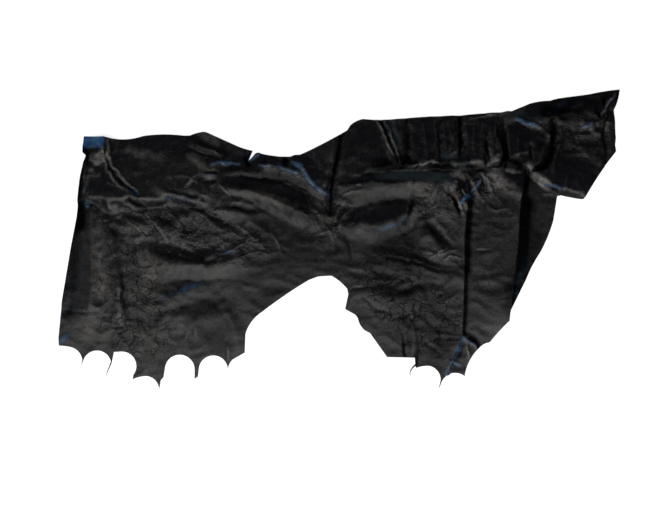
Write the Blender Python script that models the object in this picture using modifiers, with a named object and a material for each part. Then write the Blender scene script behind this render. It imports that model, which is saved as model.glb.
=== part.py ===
# A soft black hide lying loosely on a flat surface, seen from above: one closed solid.
# Its outline, its two tucks and its main folds are modelled; it is flat where it touches.

import math

import bmesh
import bpy
import numpy as np
from mathutils import Vector
from mathutils.geometry import delaunay_2d_cdt

# Driving sizes in millimetres; the mesh is scaled to metres at the end.
MM = 0.001
HIDE_THICKNESS = 1.2
RIM_STEP = 7.0
TUCK_STEP = 9.0
CREST_STEP = 10.0
CREST_GAP = 6.0
FOLD_GRID = 15.0
FOLD_GRID_GAP = 0.72 * FOLD_GRID
FLAT_GRID = 42.0
FLAT_GRID_GAP = 0.8 * FLAT_GRID
RIM_GAP_SHARE = 0.6
FLAT_HEIGHT = 0.05
LEAST_BOW = 0.2
INNER_TURN_RADIUS = 0.6
OUTER_TURN_RADIUS = INNER_TURN_RADIUS + HIDE_THICKNESS
TURN_PIECES = 4
TUCK_LIFT_REACH = 45.0
STRAIGHT_SHARE = 0.7

# How the triangulation is asked for: only triangles inside the ring, and how close two
# points must be to count as one.
TRIANGLES_INSIDE = 1
SAME_PLACE = 1e-5

# Outline, clockwise from the top left: name, x, y, and how far the stretch to the
# next point swells outwards (a negative bow is scooped inwards, as in a scallop).
OUTLINE = [
    ("corner curl tip", -422.0, 170.9, 0.0),
    ("top start", -387.3, 170.1, -5.0),
    ("after dip", -324.4, 171.2, 2.5),
    ("shallow dip", -256.5, 171.9, 0.0),
    ("foot of peak", -245.8, 172.2, 0.7),
    ("peak", -225.1, 178.3, 0.5),
    ("peak far", -217.6, 177.0, 0.0),
    ("slope end", -167.2, 154.3, -0.7),
    ("notch lip left", -142.5, 147.0, 0.0),
    ("notch bottom", -149.9, 129.2, 0.0),
    ("notch lip right", -138.4, 141.8, 1.0),
    ("notch lip top", -130.7, 142.7, -0.5),
    ("saddle a", -97.6, 136.8, 0.0),
    ("saddle b", -80.3, 136.8, 0.0),
    ("small step", -73.8, 139.8, 0.0),
    ("small step end", -64.5, 140.3, -1.2),
    ("rise end", 13.6, 181.0, 0.0),
    ("shoulder start", 18.5, 188.8, 1.8),
    ("shoulder end", 39.7, 199.5, 0.0),
    ("band start", 67.5, 197.5, 0.0),
    ("band mid", 150.6, 203.8, -0.3),
    ("band step", 183.7, 205.1, 0.0),
    ("band step end", 201.9, 205.3, 0.0),
    ("tuck one head", 216.8, 206.8, 0.0),
    ("band late", 233.4, 208.4, 0.0),
    ("band end", 268.1, 210.1, 0.0),
    ("tuft", 278.5, 212.6, 0.0),
    ("tuft end", 285.5, 212.4, 0.0),
    ("arm rise", 315.9, 225.0, 1.2),
    ("arm top", 349.2, 229.8, 0.8),
    ("arm mid", 381.8, 236.1, 0.0),
    ("arm late", 415.4, 240.6, 1.0),
    ("arm tip", 464.1, 248.0, 1.5),
    ("arm waist", 454.6, 214.6, 0.0),
    ("arm side", 458.1, 168.2, 0.0),
    ("arm nick", 456.8, 156.6, 0.0),
    ("arm corner", 458.4, 147.5, 0.0),
    ("arm corner low", 457.1, 144.1, -1.5),
    ("flap toe right", 406.5, 70.9, 0.5),
    ("flap toe", 402.7, 67.4, 0.7),
    ("flap heel", 367.9, 73.6, 0.3),
    ("inner corner", 361.1, 72.2, 0.0),
    ("side a", 354.8, 32.5, 1.7),
    ("side b", 332.7, -21.6, -1.3),
    ("side c", 310.1, -64.8, 0.0),
    ("side d", 284.7, -116.4, 0.0),
    ("side corner", 279.7, -135.3, -0.7),
    ("lobe right a", 250.9, -168.4, 0.3),
    ("lobe right b", 247.1, -170.4, -1.0),
    ("lobe right c", 235.2, -176.3, -5.1),
    ("lobe right toe", 208.0, -225.8, -4.6),
    ("tuck one foot", 178.7, -224.3, -1.0),
    ("cusp right", 169.8, -234.9, 0.0),
    ("cusp right strand", 164.8, -248.0, 0.0),
    ("cusp right back", 168.1, -232.3, -5.1),
    ("scallop right top", 150.6, -208.9, -1.3),
    ("lobe step toe", 127.9, -212.3, 0.0),
    ("strand root low", 126.9, -209.1, -0.5),
    ("strand mid low", 119.3, -216.7, -0.8),
    ("strand end", 118.5, -227.6, 1.3),
    ("strand mid high", 118.3, -215.4, 0.5),
    ("strand root high", 126.3, -205.5, 0.0),
    ("lobe step", 125.4, -195.4, 0.0),
    ("lobe bay corner", 79.6, -194.2, 0.0),
    ("bay right a", 51.3, -154.5, 0.0),
    ("bay right b", 42.7, -150.2, 1.2),
    ("bay right c", 32.4, -135.0, -1.2),
    ("bay right d", 26.5, -124.0, 0.0),
    ("bay spur", 10.3, -114.8, 0.0),
    ("bay side", 15.7, -89.1, 0.5),
    ("bay side top", 13.9, -81.8, -1.7),
    ("bay top right", -12.4, -59.8, -0.3),
    ("bay top left", -34.8, -61.2, 0.0),
    ("bay shoulder", -49.8, -66.8, -1.5),
    ("bay curve", -127.4, -119.7, -4.1),
    ("bay left side", -154.7, -156.1, 0.0),
    ("bay left corner", -155.9, -186.9, 0.0),
    ("left lobe b", -175.4, -198.0, -1.7),
    ("cusp 5", -183.7, -214.4, -21.8),
    ("tab 4 right top", -231.7, -212.4, 0.0),
    ("tab 4 right", -233.4, -226.7, 0.0),
    ("tab 4 toe", -238.8, -230.5, 0.0),
    ("tab 4 left top", -238.7, -214.1, -23.7),
    ("tab 3 right", -288.0, -214.1, 0.0),
    ("tab 3 step", -290.3, -227.8, 0.0),
    ("tab 3 step in", -294.8, -232.6, 0.0),
    ("tab 3 toe", -297.4, -248.0, -5.6),
    ("scallop 3 top", -317.8, -225.7, -1.5),
    ("tab 3 left toe", -341.1, -231.1, 0.0),
    ("tab 3 left", -340.1, -223.8, -14.9),
    ("scallop 2 top", -362.4, -185.3, 0.0),
    ("scallop 2 corner", -372.4, -185.9, 0.0),
    ("cusp 2", -376.0, -204.0, 0.0),
    ("cusp 2 strand mid", -383.0, -219.7, 0.0),
    ("cusp 2 strand end", -385.8, -227.1, 0.0),
    ("cusp 2 strand back", -384.0, -219.0, 0.0),
    ("cusp 2 back", -377.2, -201.7, -17.5),
    ("cusp 1 back", -423.0, -200.2, 0.0),
    ("cusp 1 strand", -426.5, -208.0, 0.0),
    ("cusp 1", -424.5, -199.2, -5.0),
    ("left toe curve", -445.2, -177.3, -0.3),
    ("left toe", -463.4, -175.2, 0.0),
    ("left side a", -463.9, -162.8, 0.0),
    ("left side b", -458.1, -99.9, 0.0),
    ("left side c", -444.2, -16.0, 0.0),
    ("left side d", -433.1, 39.1, 0.0),
    ("left side e", -431.5, 55.7, 0.0),
    ("left side f", -432.1, 65.6, 0.0),
    ("left side g", -428.5, 98.1, 0.5),
    ("left side h", -422.9, 124.4, 0.5),
    ("curl nick", -416.6, 138.8, 0.0),
    ("curl side low", -423.2, 144.1, 0.0),
    ("curl side", -423.5, 155.0, 0.0),
]

# Tucks: the outline points at head and foot, then the rows between them as x, y, how far
# the sheet turns under in degrees and the length of its hidden return, and at last the
# turn and the return at the foot. Where the turn is 0 the sheet runs on flat.
TUCKS = [
    (
        "tuck one head",
        "tuck one foot",
        [
            (216.0, 150.0, 0, 0.0),
            (215.8, 105.3, 0, 0.0),
            (213.6, 82.0, 70, 2.0),
            (211.4, 60.7, 150, 6.0),
            (207.1, 16.0, 168, 9.0),
            (206.1, -50.2, 170, 10.0),
            (203.1, -158.8, 165, 8.0),
            (193.0, -184.6, 130, 3.0),
        ],
        (100, 1.0),
    ),
    (
        "arm rise",
        "side corner",
        [
            (312.5, 165.0, 0, 0.0),
            (309.8, 131.8, 0, 0.0),
            (306.0, 112.0, 60, 2.0),
            (299.4, 65.6, 160, 8.0),
            (296.1, 16.0, 168, 9.0),
            (293.6, -33.7, 168, 9.0),
            (286.2, -68.4, 165, 8.0),
        ],
        (120, 2.0),
    ),
]

# Broad folds: name, reach to the left and to the right of the way it runs, and its
# crest as (x, y, height). The higher of two folds wins where they meet.
FOLDS = [
    (
        "upper left slope", 98, 22,
        [(-432, 71, 3), (-412, 71, 9), (-379, 67, 12), (-328, 71, 13), (-280, 76, 12), (-230, 67, 11),
         (-187, 51, 4)],
    ),
    (
        "upper middle slope", 40, 24,
        [(-190, 89, 5), (-147, 80, 8), (-106, 67, 8), (-61, 44, 8), (-17, 31, 3)],
    ),
    (
        "neck ridge", 30, 20,
        [(-222, 105, 2), (-180, 110, 5), (-127, 114, 6), (-89, 114, 7), (-60, 109, 7), (-31, 86, 4)],
    ),
    (
        "ruffle crest", 78, 16,
        [(10, 102, 4), (64, 122, 10), (118, 125, 12), (167, 125, 12), (217, 132, 11), (266, 130, 11),
         (313, 122, 6)],
    ),
    (
        "ledge crest", 30, 30,
        [(-5, 82, 3), (31, 87, 6), (76, 95, 8), (131, 95, 8), (184, 92, 7), (204, 102, 3)],
    ),
    ("lens crest", 34, 26, [(-10, 28, 3), (22, 18, 5), (53, 9, 6), (89, 19, 7), (118, 38, 4)]),
    (
        "trough crest", 28, 34,
        [(-316, -27, 2), (-288, -35, 5), (-238, -42, 6), (-197, -40, 5), (-170, -29, 2)],
    ),
    (
        "left flank", 24, 36,
        [(-412, 46, 6), (-407, 8, 6), (-407, -50, 6), (-410, -108, 5), (-425, -153, 1)],
    ),
    ("left plateau", 14, 24, [(-381, 29, 2), (-376, -17, 4), (-367, -75, 5), (-362, -120, 3)]),
    (
        "blue streak", 18, 24,
        [(-316, -106, 1), (-285, -98, 4), (-247, -83, 5), (-218, -73, 3), (-187, -73, 1)],
    ),
    ("lower band", 18, 22, [(-296, -130, 1), (-263, -128, 3), (-222, -128, 3), (-187, -121, 1)]),
    ("bay facet", 12, 20, [(-190, -110, 1), (-180, -130, 3), (-170, -158, 3), (-167, -181, 1)]),
    ("left roll", 30, 9, [(-415, 134, 8), (-417, 102, 9), (-420, 66, 7), (-422, 32, 4)]),
    ("corner curl", 22, 26, [(-419, 140, 9), (-404, 140, 13), (-391, 150, 14), (-386, 167, 10)]),
    ("top knuckle", 18, 18, [(-237, 163, 2), (-222, 155, 5), (-204, 145, 5), (-187, 132, 2)]),
    ("knot", 14, 14, [(-220, 79, 2), (-200, 84, 5), (-184, 72, 4), (-164, 64, 1)]),
    ("cheek", 18, 26, [(-276, 19, 1), (-256, 39, 4), (-230, 42, 5), (-204, 29, 3), (-194, 6, 1)]),
    ("mid wrinkle", 18, 20, [(-362, 19, 1), (-329, 26, 3), (-296, 23, 3), (-266, 9, 3), (-237, -7, 1)]),
    ("flap", 60, 12, [(311, 117, 3), (333, 105, 8), (362, 87, 9), (402, 77, 7)]),
    ("arm crest", 22, 30, [(324, 201, 3), (366, 211, 5), (415, 211, 6), (442, 195, 5), (437, 185, 2)]),
    ("arm tail", 16, 16, [(462, 244, 1), (445, 224, 4), (429, 201, 5)]),
    ("right valley side", 16, 30, [(139, 29, 1), (151, 9, 5), (167, -14, 4), (187, -27, 1)]),
    ("low right band", 18, 24, [(22, -87, 1), (76, -95, 3), (118, -95, 4), (156, -83, 1)]),
    ("low right curve", 20, 26, [(73, -30, 1), (122, -42, 3), (167, -54, 3), (200, -62, 1)]),
    ("crumple", 20, 20, [(179, 57, 1), (195, 72, 6), (210, 89, 8), (230, 102, 6), (253, 112, 3)]),
    ("panel top", 16, 18, [(247, 86, 2), (266, 102, 5), (290, 92, 3), (300, 79, 1)]),
]

# Creases, laid over the folds: as above, a negative height is a groove.
CREASES = [
    (
        "pinched groove", 8, 8,
        [(-386, 167, -2), (-386, 140, -4), (-379, 120, -5), (-362, 99, -5), (-344, 82, -4), (-329, 72, -1)],
    ),
    ("neck cleft", 11, 11, [(5, 175, -3), (0, 148, -8), (-7, 115, -8), (-13, 82, -6), (-15, 42, -2)]),
    ("twin rib", 10, 10, [(70, 196, 2), (79, 168, 4), (89, 140, 4), (98, 125, 1)]),
    ("ruffle one", 10, 9, [(108, 196, -2), (112, 165, -6), (114, 135, -2)]),
    ("ruffle two", 9, 9, [(167, 198, -2), (167, 165, -4), (166, 132, -1)]),
    ("ruffle three", 10, 10, [(200, 200, -2), (200, 168, -8), (200, 140, -3)]),
    ("ruffle four", 9, 9, [(245, 190, -1), (245, 157, -5), (245, 127, -2)]),
    ("ruffle five", 10, 10, [(265, 196, -2), (271, 165, -8), (275, 137, -8), (266, 120, -2)]),
    (
        "shoulder cleft", 10, 10,
        [(359, 196, -3), (354, 168, -7), (346, 145, -7), (341, 127, -7), (329, 112, -2)],
    ),
    ("flank cleft", 9, 9, [(439, 176, -2), (437, 148, -4), (439, 122, -2)]),
]


def arc_points(start, end, bow, step):
    # The stretch from start up to, but not including, end.
    (ax, ay), (bx, by) = start, end
    chord = math.hypot(bx - ax, by - ay)
    along = ((bx - ax) / chord, (by - ay) / chord)
    if abs(bow) < LEAST_BOW:
        count = max(1, round(chord / step))
        return [(ax + (bx - ax) * i / count, ay + (by - ay) * i / count) for i in range(count)]
    outwards = (-along[1], along[0])
    half = chord / 2
    radius = (half * half + bow * bow) / (2 * abs(bow))
    sweep = 2 * math.atan2(abs(bow), half)
    count = max(2, round(2 * sweep * radius / step))
    middle = ((ax + bx) / 2, (ay + by) / 2)
    points = []
    for i in range(count):
        turn = sweep * (2 * i / count - 1)
        forward = radius * math.sin(turn)
        rise = math.copysign(radius * math.cos(turn) - radius + abs(bow), bow)
        points.append(
            (
                middle[0] + along[0] * forward + outwards[0] * rise,
                middle[1] + along[1] * forward + outwards[1] * rise,
            )
        )
    return points


def outline_points(step):
    # The rim as a closed run of points, and where each named point stands in it.
    points, places = [], {}
    for row, (name, x, y, bow) in enumerate(OUTLINE):
        _, next_x, next_y, _ = OUTLINE[(row + 1) % len(OUTLINE)]
        places[name] = len(points)
        points += arc_points((x, y), (next_x, next_y), bow, step)
    return points, places


def soft(t):
    t = np.clip(t, 0, 1)
    return (1 - t) ** 2 * (1 + 2 * t)


def slope(t):
    t = np.clip(t, 0, 1)
    return STRAIGHT_SHARE * (1 - t) + (1 - STRAIGHT_SHARE) * soft(t)


def nearest_on(points, run, values):
    # Distance to a run of points, the side (1 is left, -1 right) and the value there.
    best = np.full(len(points), np.inf)
    side = np.zeros(len(points))
    value = np.zeros(len(points))
    for (ax, ay), (bx, by), first, last in zip(run, run[1:], values, values[1:]):
        edge = np.array([bx - ax, by - ay], float)
        away = points - (ax, ay)
        share = np.clip(away @ edge / (edge @ edge), 0, 1)
        off = away - share[:, None] * edge
        far = np.hypot(off[:, 0], off[:, 1])
        across = (edge[0] * off[:, 1] - edge[1] * off[:, 0]) / (np.hypot(*edge) * np.maximum(far, 1e-9))
        closer = far < best
        best = np.where(closer, far, best)
        side = np.where(closer, across, side)
        value = np.where(closer, first + (last - first) * share, value)
    return best, side, value


def fold_height(points, row, shape):
    _, left, right, crest = row
    run = [(x, y) for x, y, _ in crest]
    distance, side, height = nearest_on(points, run, [z for _, _, z in crest])
    reach = (left + right) / 2 + (left - right) / 2 * side
    return height * shape(distance / reach)


def relief(points):
    points = np.asarray(points, float).reshape(-1, 2)
    height = np.zeros(len(points))
    for row in FOLDS:
        height = np.maximum(height, fold_height(points, row, slope))
    for row in CREASES:
        height = height + fold_height(points, row, soft)
    return np.maximum(height, 0)


def tuck_section(turn, run):
    # The section of a tuck, as (sideways, height), from the top ply down to the lower ply.
    drop = (INNER_TURN_RADIUS + OUTER_TURN_RADIUS) * (1 - math.cos(turn)) + run * math.sin(turn)
    points = []
    for i in range(TURN_PIECES + 1):
        angle = turn * i / TURN_PIECES
        points.append(
            (INNER_TURN_RADIUS * math.sin(angle), drop - INNER_TURN_RADIUS * (1 - math.cos(angle)))
        )
    start_x = points[-1][0] + run * math.cos(turn)
    start_z = points[-1][1] - run * math.sin(turn)
    for i in range(TURN_PIECES + 1):
        angle = turn * (1 - i / TURN_PIECES)
        points.append(
            (
                start_x + OUTER_TURN_RADIUS * (math.sin(turn) - math.sin(angle)),
                start_z - OUTER_TURN_RADIUS * (math.cos(angle) - math.cos(turn)),
            )
        )
    return points


def tuck_stations(rim, places, tuck, step):
    # Stations down the whole cut: place, sideways direction, turn and return.
    head, foot, rows, (foot_turn, foot_run) = tuck
    stops = [(*rim[places[head]], 0, 0.0), *rows, (*rim[places[foot]], foot_turn, foot_run)]
    dense = []
    for first, last in zip(stops, stops[1:]):
        count = max(1, round(math.dist(first[:2], last[:2]) / step))
        dense += [[a + (b - a) * i / count for a, b in zip(first, last)] for i in range(count)]
    dense.append(list(stops[-1]))
    stations = []
    for i, (x, y, turn, run) in enumerate(dense):
        before, after = dense[max(0, i - 2)], dense[min(len(dense) - 1, i + 2)]
        way = math.dist(before[:2], after[:2])
        across = (-(after[1] - before[1]) / way, (after[0] - before[0]) / way)
        stations.append((x, y, across, math.radians(turn), run))
    return stations


def scattered(candidates, taken, gap, size):
    # Adds each candidate that keeps its distance from all points taken before it.
    for x, y in candidates:
        cell = (int(x // size), int(y // size))
        near = (
            point
            for i in (-1, 0, 1)
            for j in (-1, 0, 1)
            for point in taken.get((cell[0] + i, cell[1] + j), ())
        )
        if all((x - px) ** 2 + (y - py) ** 2 >= gap * gap for px, py in near):
            taken.setdefault(cell, []).append((x, y))
            yield (x, y)


def crest_candidates(step):
    # Places on each crest, and beside it at half and at all of its reach.
    places = []
    for _, left, right, crest in CREASES + FOLDS:
        for (ax, ay, _), (bx, by, _) in zip(crest, crest[1:]):
            length = math.hypot(bx - ax, by - ay)
            count = max(1, round(length / step))
            normal = (-(by - ay) / length, (bx - ax) / length)
            for i in range(count + 1):
                x, y = ax + (bx - ax) * i / count, ay + (by - ay) * i / count
                for off in (0, left, -right, left / 2, -right / 2):
                    places.append((x + normal[0] * off, y + normal[1] * off))
    return places


def grid_candidates(low, high, step):
    # Rows of a triangular grid over the whole hide.
    rise = step * math.sqrt(3) / 2
    rows = int((high[1] - low[1]) / rise) + 1
    columns = int((high[0] - low[0]) / step) + 1
    return [
        (low[0] + (column + 0.5 * (row % 2)) * step, low[1] + row * rise)
        for row in range(rows)
        for column in range(columns)
    ]


def inside(points, ring):
    # Whether each point lies in the ring, by counting the edges to its right.
    points, ring = np.asarray(points, float), np.asarray(ring, float)
    crossed = np.zeros(len(points), bool)
    for (ax, ay), (bx, by) in zip(ring, np.roll(ring, -1, axis=0)):
        level = (ay > points[:, 1]) != (by > points[:, 1])
        with np.errstate(divide="ignore", invalid="ignore"):
            cross_x = ax + (points[:, 1] - ay) * (bx - ax) / (by - ay)
        crossed ^= level & (points[:, 0] < cross_x)
    return crossed


def clear_of(points, ring, gap):
    points = np.asarray(points, float)
    closed = [tuple(p) for p in ring] + [tuple(ring[0])]
    distance, _, _ = nearest_on(points, closed, [0] * len(closed))
    return distance > gap


def region_points(ring, candidates):
    # The points inside one panel, those of the crests first.
    taken, chosen = {}, []
    for places, gap in candidates:
        places = np.asarray(places, float)
        places = places[inside(places, ring)]
        places = places[clear_of(places, ring, gap * RIM_GAP_SHARE)]
        chosen += list(scattered(map(tuple, places), taken, gap, FLAT_GRID))
    return chosen


def triangles_in(ring, points):
    # The region's triangles; its ring comes first in the points that they number.
    flat = [Vector(p) for p in [*ring, *points]]
    result = delaunay_2d_cdt(flat, [], [list(range(len(ring)))], TRIANGLES_INSIDE, SAME_PLACE)
    places, _, faces, sources = result[:4]
    if len(places) != len(flat):
        raise RuntimeError("the rim crosses itself")
    number = [source[0] for source in sources]
    return [[number[corner] for corner in face] for face in faces]


def add_tucks(mesh, rim, places):
    # Each tuck's columns of vertices, one per station, from its top ply to its lower ply,
    # with the run of its top edge and how high the tuck lifts the sheet there.
    tucks = []
    for tuck in TUCKS:
        columns, run, lifts = [], [], []
        for x, y, across, turn, hidden in tuck_stations(rim, places, tuck, TUCK_STEP):
            section = tuck_section(turn, hidden) if turn > 0 else [(0, 0)]
            columns.append(
                [mesh.verts.new((x + across[0] * side, y + across[1] * side, lift)) for side, lift in section]
            )
            run.append((x, y))
            lifts.append(section[0][1])
        tucks.append((columns, run, lifts))
    return tucks


def tuck_lift(points, tuck):
    # How far the panel that a tuck's top ply ends is raised at these points.
    if tuck is None or not len(points):
        return np.zeros(len(points))
    _, run, lifts = tuck
    distance, _, height = nearest_on(np.asarray(points, float), run, lifts)
    return height * soft(distance / TUCK_LIFT_REACH)


def panel_rings(rim, places, tucks):
    # The three panels' edges, clockwise, of rim places and of vertices on the tucks.
    def rim_between(first, last):
        span = (places[last] - places[first]) % len(rim)
        return [rim[(places[first] + i) % len(rim)] for i in range(1, span)]

    (head_one, foot_one, _, _), (head_two, foot_two, _, _) = TUCKS
    top_one, top_two = ([column[0] for column in columns] for columns, _, _ in tucks)
    low_one, low_two = ([column[-1] for column in columns] for columns, _, _ in tucks)
    return [
        [*rim_between(foot_one, head_one), *top_one],
        [
            *rim_between(head_one, head_two),
            *top_two,
            *rim_between(foot_two, foot_one),
            *reversed(low_one),
        ],
        [*rim_between(head_two, foot_two), *reversed(low_two)],
    ]


def fill_panel(mesh, ring, tuck, candidates):
    def on_tuck(corner):
        return isinstance(corner, bmesh.types.BMVert)

    flat_ring = [tuple(corner.co[:2]) if on_tuck(corner) else corner for corner in ring]
    inner = region_points(flat_ring, candidates)
    loose = [corner for corner in ring if not on_tuck(corner)]
    made = iter([mesh.verts.new((*place, lift)) for place, lift in zip(loose, tuck_lift(loose, tuck))])
    corners = [corner if on_tuck(corner) else next(made) for corner in ring]
    corners += [mesh.verts.new((*place, lift)) for place, lift in zip(inner, tuck_lift(inner, tuck))]
    for face in triangles_in(flat_ring, inner):
        mesh.faces.new([corners[i] for i in face])


def fill_tuck(mesh, columns):
    # The turned strip between a tuck's top ply and its lower ply.
    for upper, lower in zip(columns, columns[1:]):
        if len(upper) == len(lower) == 1:
            continue
        if len(upper) == 1:
            for first, second in zip(lower, lower[1:]):
                mesh.faces.new((upper[0], first, second))
            continue
        for i in range(len(upper) - 1):
            mesh.faces.new((upper[i], lower[i], lower[i + 1]))
            mesh.faces.new((upper[i], lower[i + 1], upper[i + 1]))


def build_hide():
    rim, places = outline_points(RIM_STEP)
    low, high = np.min(rim, axis=0), np.max(rim, axis=0)
    grid = np.array(grid_candidates(low, high, FOLD_GRID))
    candidates = [
        (crest_candidates(CREST_STEP), CREST_GAP),
        (grid[relief(grid) > FLAT_HEIGHT], FOLD_GRID_GAP),
        (grid_candidates(low, high, FLAT_GRID), FLAT_GRID_GAP),
    ]

    mesh = bmesh.new()
    tucks = add_tucks(mesh, rim, places)
    for ring, raised_by in zip(panel_rings(rim, places, tucks), (*tucks, None)):
        fill_panel(mesh, ring, raised_by, candidates)
    for columns, _, _ in tucks:
        fill_tuck(mesh, columns)

    # The folds lift the whole sheet, tucks included; then it is centred, in metres.
    plan = np.array([corner.co[:2] for corner in mesh.verts])
    middle = (low + high) / 2
    for corner, height in zip(mesh.verts, relief(plan)):
        corner.co.x = (corner.co.x - middle[0]) * MM
        corner.co.y = (corner.co.y - middle[1]) * MM
        corner.co.z = (corner.co.z + height) * MM

    bmesh.ops.recalc_face_normals(mesh, faces=mesh.faces)
    if sum(face.normal.z * face.calc_area() for face in mesh.faces) < 0:
        bmesh.ops.reverse_faces(mesh, faces=mesh.faces)

    data = bpy.data.meshes.new("leather_hide")
    mesh.to_mesh(data)
    mesh.free()
    for polygon in data.polygons:
        polygon.use_smooth = True
    return data


def leather_material():
    material = bpy.data.materials.new("black leather")
    material.use_nodes = True
    shader = material.node_tree.nodes["Principled BSDF"]
    shader.inputs["Base Color"].default_value = (0.035, 0.033, 0.032, 1)
    shader.inputs["Roughness"].default_value = 0.45
    return material


def main():
    for old in list(bpy.data.objects):
        bpy.data.objects.remove(old, do_unlink=True)

    parts = bpy.data.collections.new("piece of leather")
    bpy.context.scene.collection.children.link(parts)

    hide = bpy.data.objects.new("leather_hide", build_hide())
    hide.data.materials.append(leather_material())
    parts.objects.link(hide)

    # The mesh is the underside, so the thickness is added above it.
    thicken = hide.modifiers.new("thickness", "SOLIDIFY")
    thicken.thickness = HIDE_THICKNESS * MM
    thicken.offset = 1.0
    thicken.use_even_offset = True


main()
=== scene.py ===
import math

import bmesh
import bpy
import numpy as np
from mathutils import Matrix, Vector, noise
from mathutils.geometry import delaunay_2d_cdt


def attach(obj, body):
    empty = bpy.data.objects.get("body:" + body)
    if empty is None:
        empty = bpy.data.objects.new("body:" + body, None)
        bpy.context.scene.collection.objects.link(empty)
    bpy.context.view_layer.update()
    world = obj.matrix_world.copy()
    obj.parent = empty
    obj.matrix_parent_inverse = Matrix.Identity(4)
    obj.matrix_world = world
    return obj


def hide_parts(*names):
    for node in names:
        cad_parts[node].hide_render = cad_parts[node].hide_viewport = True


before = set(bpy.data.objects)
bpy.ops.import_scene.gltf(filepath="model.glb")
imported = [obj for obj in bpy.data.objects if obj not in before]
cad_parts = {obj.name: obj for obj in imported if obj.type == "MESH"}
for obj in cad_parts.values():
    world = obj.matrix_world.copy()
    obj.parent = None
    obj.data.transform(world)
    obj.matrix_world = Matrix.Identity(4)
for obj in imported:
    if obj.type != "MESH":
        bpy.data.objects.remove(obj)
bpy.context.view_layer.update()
print("frame loaded")

# Black hide, laid out on a pale floor and seen from straight above.
# All sizes of the hide are in millimetres until the mesh is scaled at the end.
mm = 0.001

hide = {
    "thickness": 1.2,
    "rimStep": 2.6,         # spacing of points round the edge
    "leastBow": 0.2,        # an edge stretch that swells less is left straight
    "creaseStep": 2.8,      # spacing along a crease
    "creaseGap": 1.25,      # closest two points of creases may come
    "gridStep": 3.05,       # spacing of the points between creases
    "gridGap": 2.2,
    "rimGap": 1.3,
    "rimCell": 4,           # cells in which the rim's points are looked up
    "tuckStep": 3.0,
    "tuckSpan": 4,          # rows on either side that set a tuck's direction
    "innerTurn": 0.6,       # radius inside a tuck's turn
    "turnPieces": 6,
    "plyClear": 4.0,        # rim left out round the end of a tuck's lower ply
    "tuckReach": 45.0,      # how far a tuck lifts the sheet beside it
    "foldStraight": 0.45,   # of a broad fold's slope, the rest is rounded
    "creaseStraight": 0.75,
    "deepest": 0.7,         # how far a groove may bite into the sheet where it lies flat
    "fineHeight": 1.1,      # share of a fine crease's height, before its unevenness
    "leastCrumple": 0.2,
    "crumpleLift": 0.5,     # keeps the crumples' hollows off the floor
    "waveLevel": 0.2,       # middle height of the crumples' facets
    "wanderSeed": 7,        # picks one way for the creases to stray
    "sharpAngle": 62,
}
noise.seed_set(hide["wanderSeed"])

# Noise that makes the sheet uneven: length of its waves along x and y, the layer of the
# noise that it takes, and its height, or how far it leads things sideways.
waves = {
    "slow": (30, 30, 4.2, 5.0),     # slow and quick lead the creases off their way
    "quick": (9, 9, 8.8, 2.0),
    "bend": (31, 31, 7.0, 9.0),     # bends the crumples, which are the four after it
    "broad": (46, 58, 1.5, 2.6),
    "facet": (33, 22, 3.1, 5.0),
    "sharp": (15, 12, 9.4, 1.3),
    "small": (7, 7, 5.4, 0.35),
    "uneven": (16, 16, 2.2, 1.3),   # makes the fine creases uneven in height
}

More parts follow.
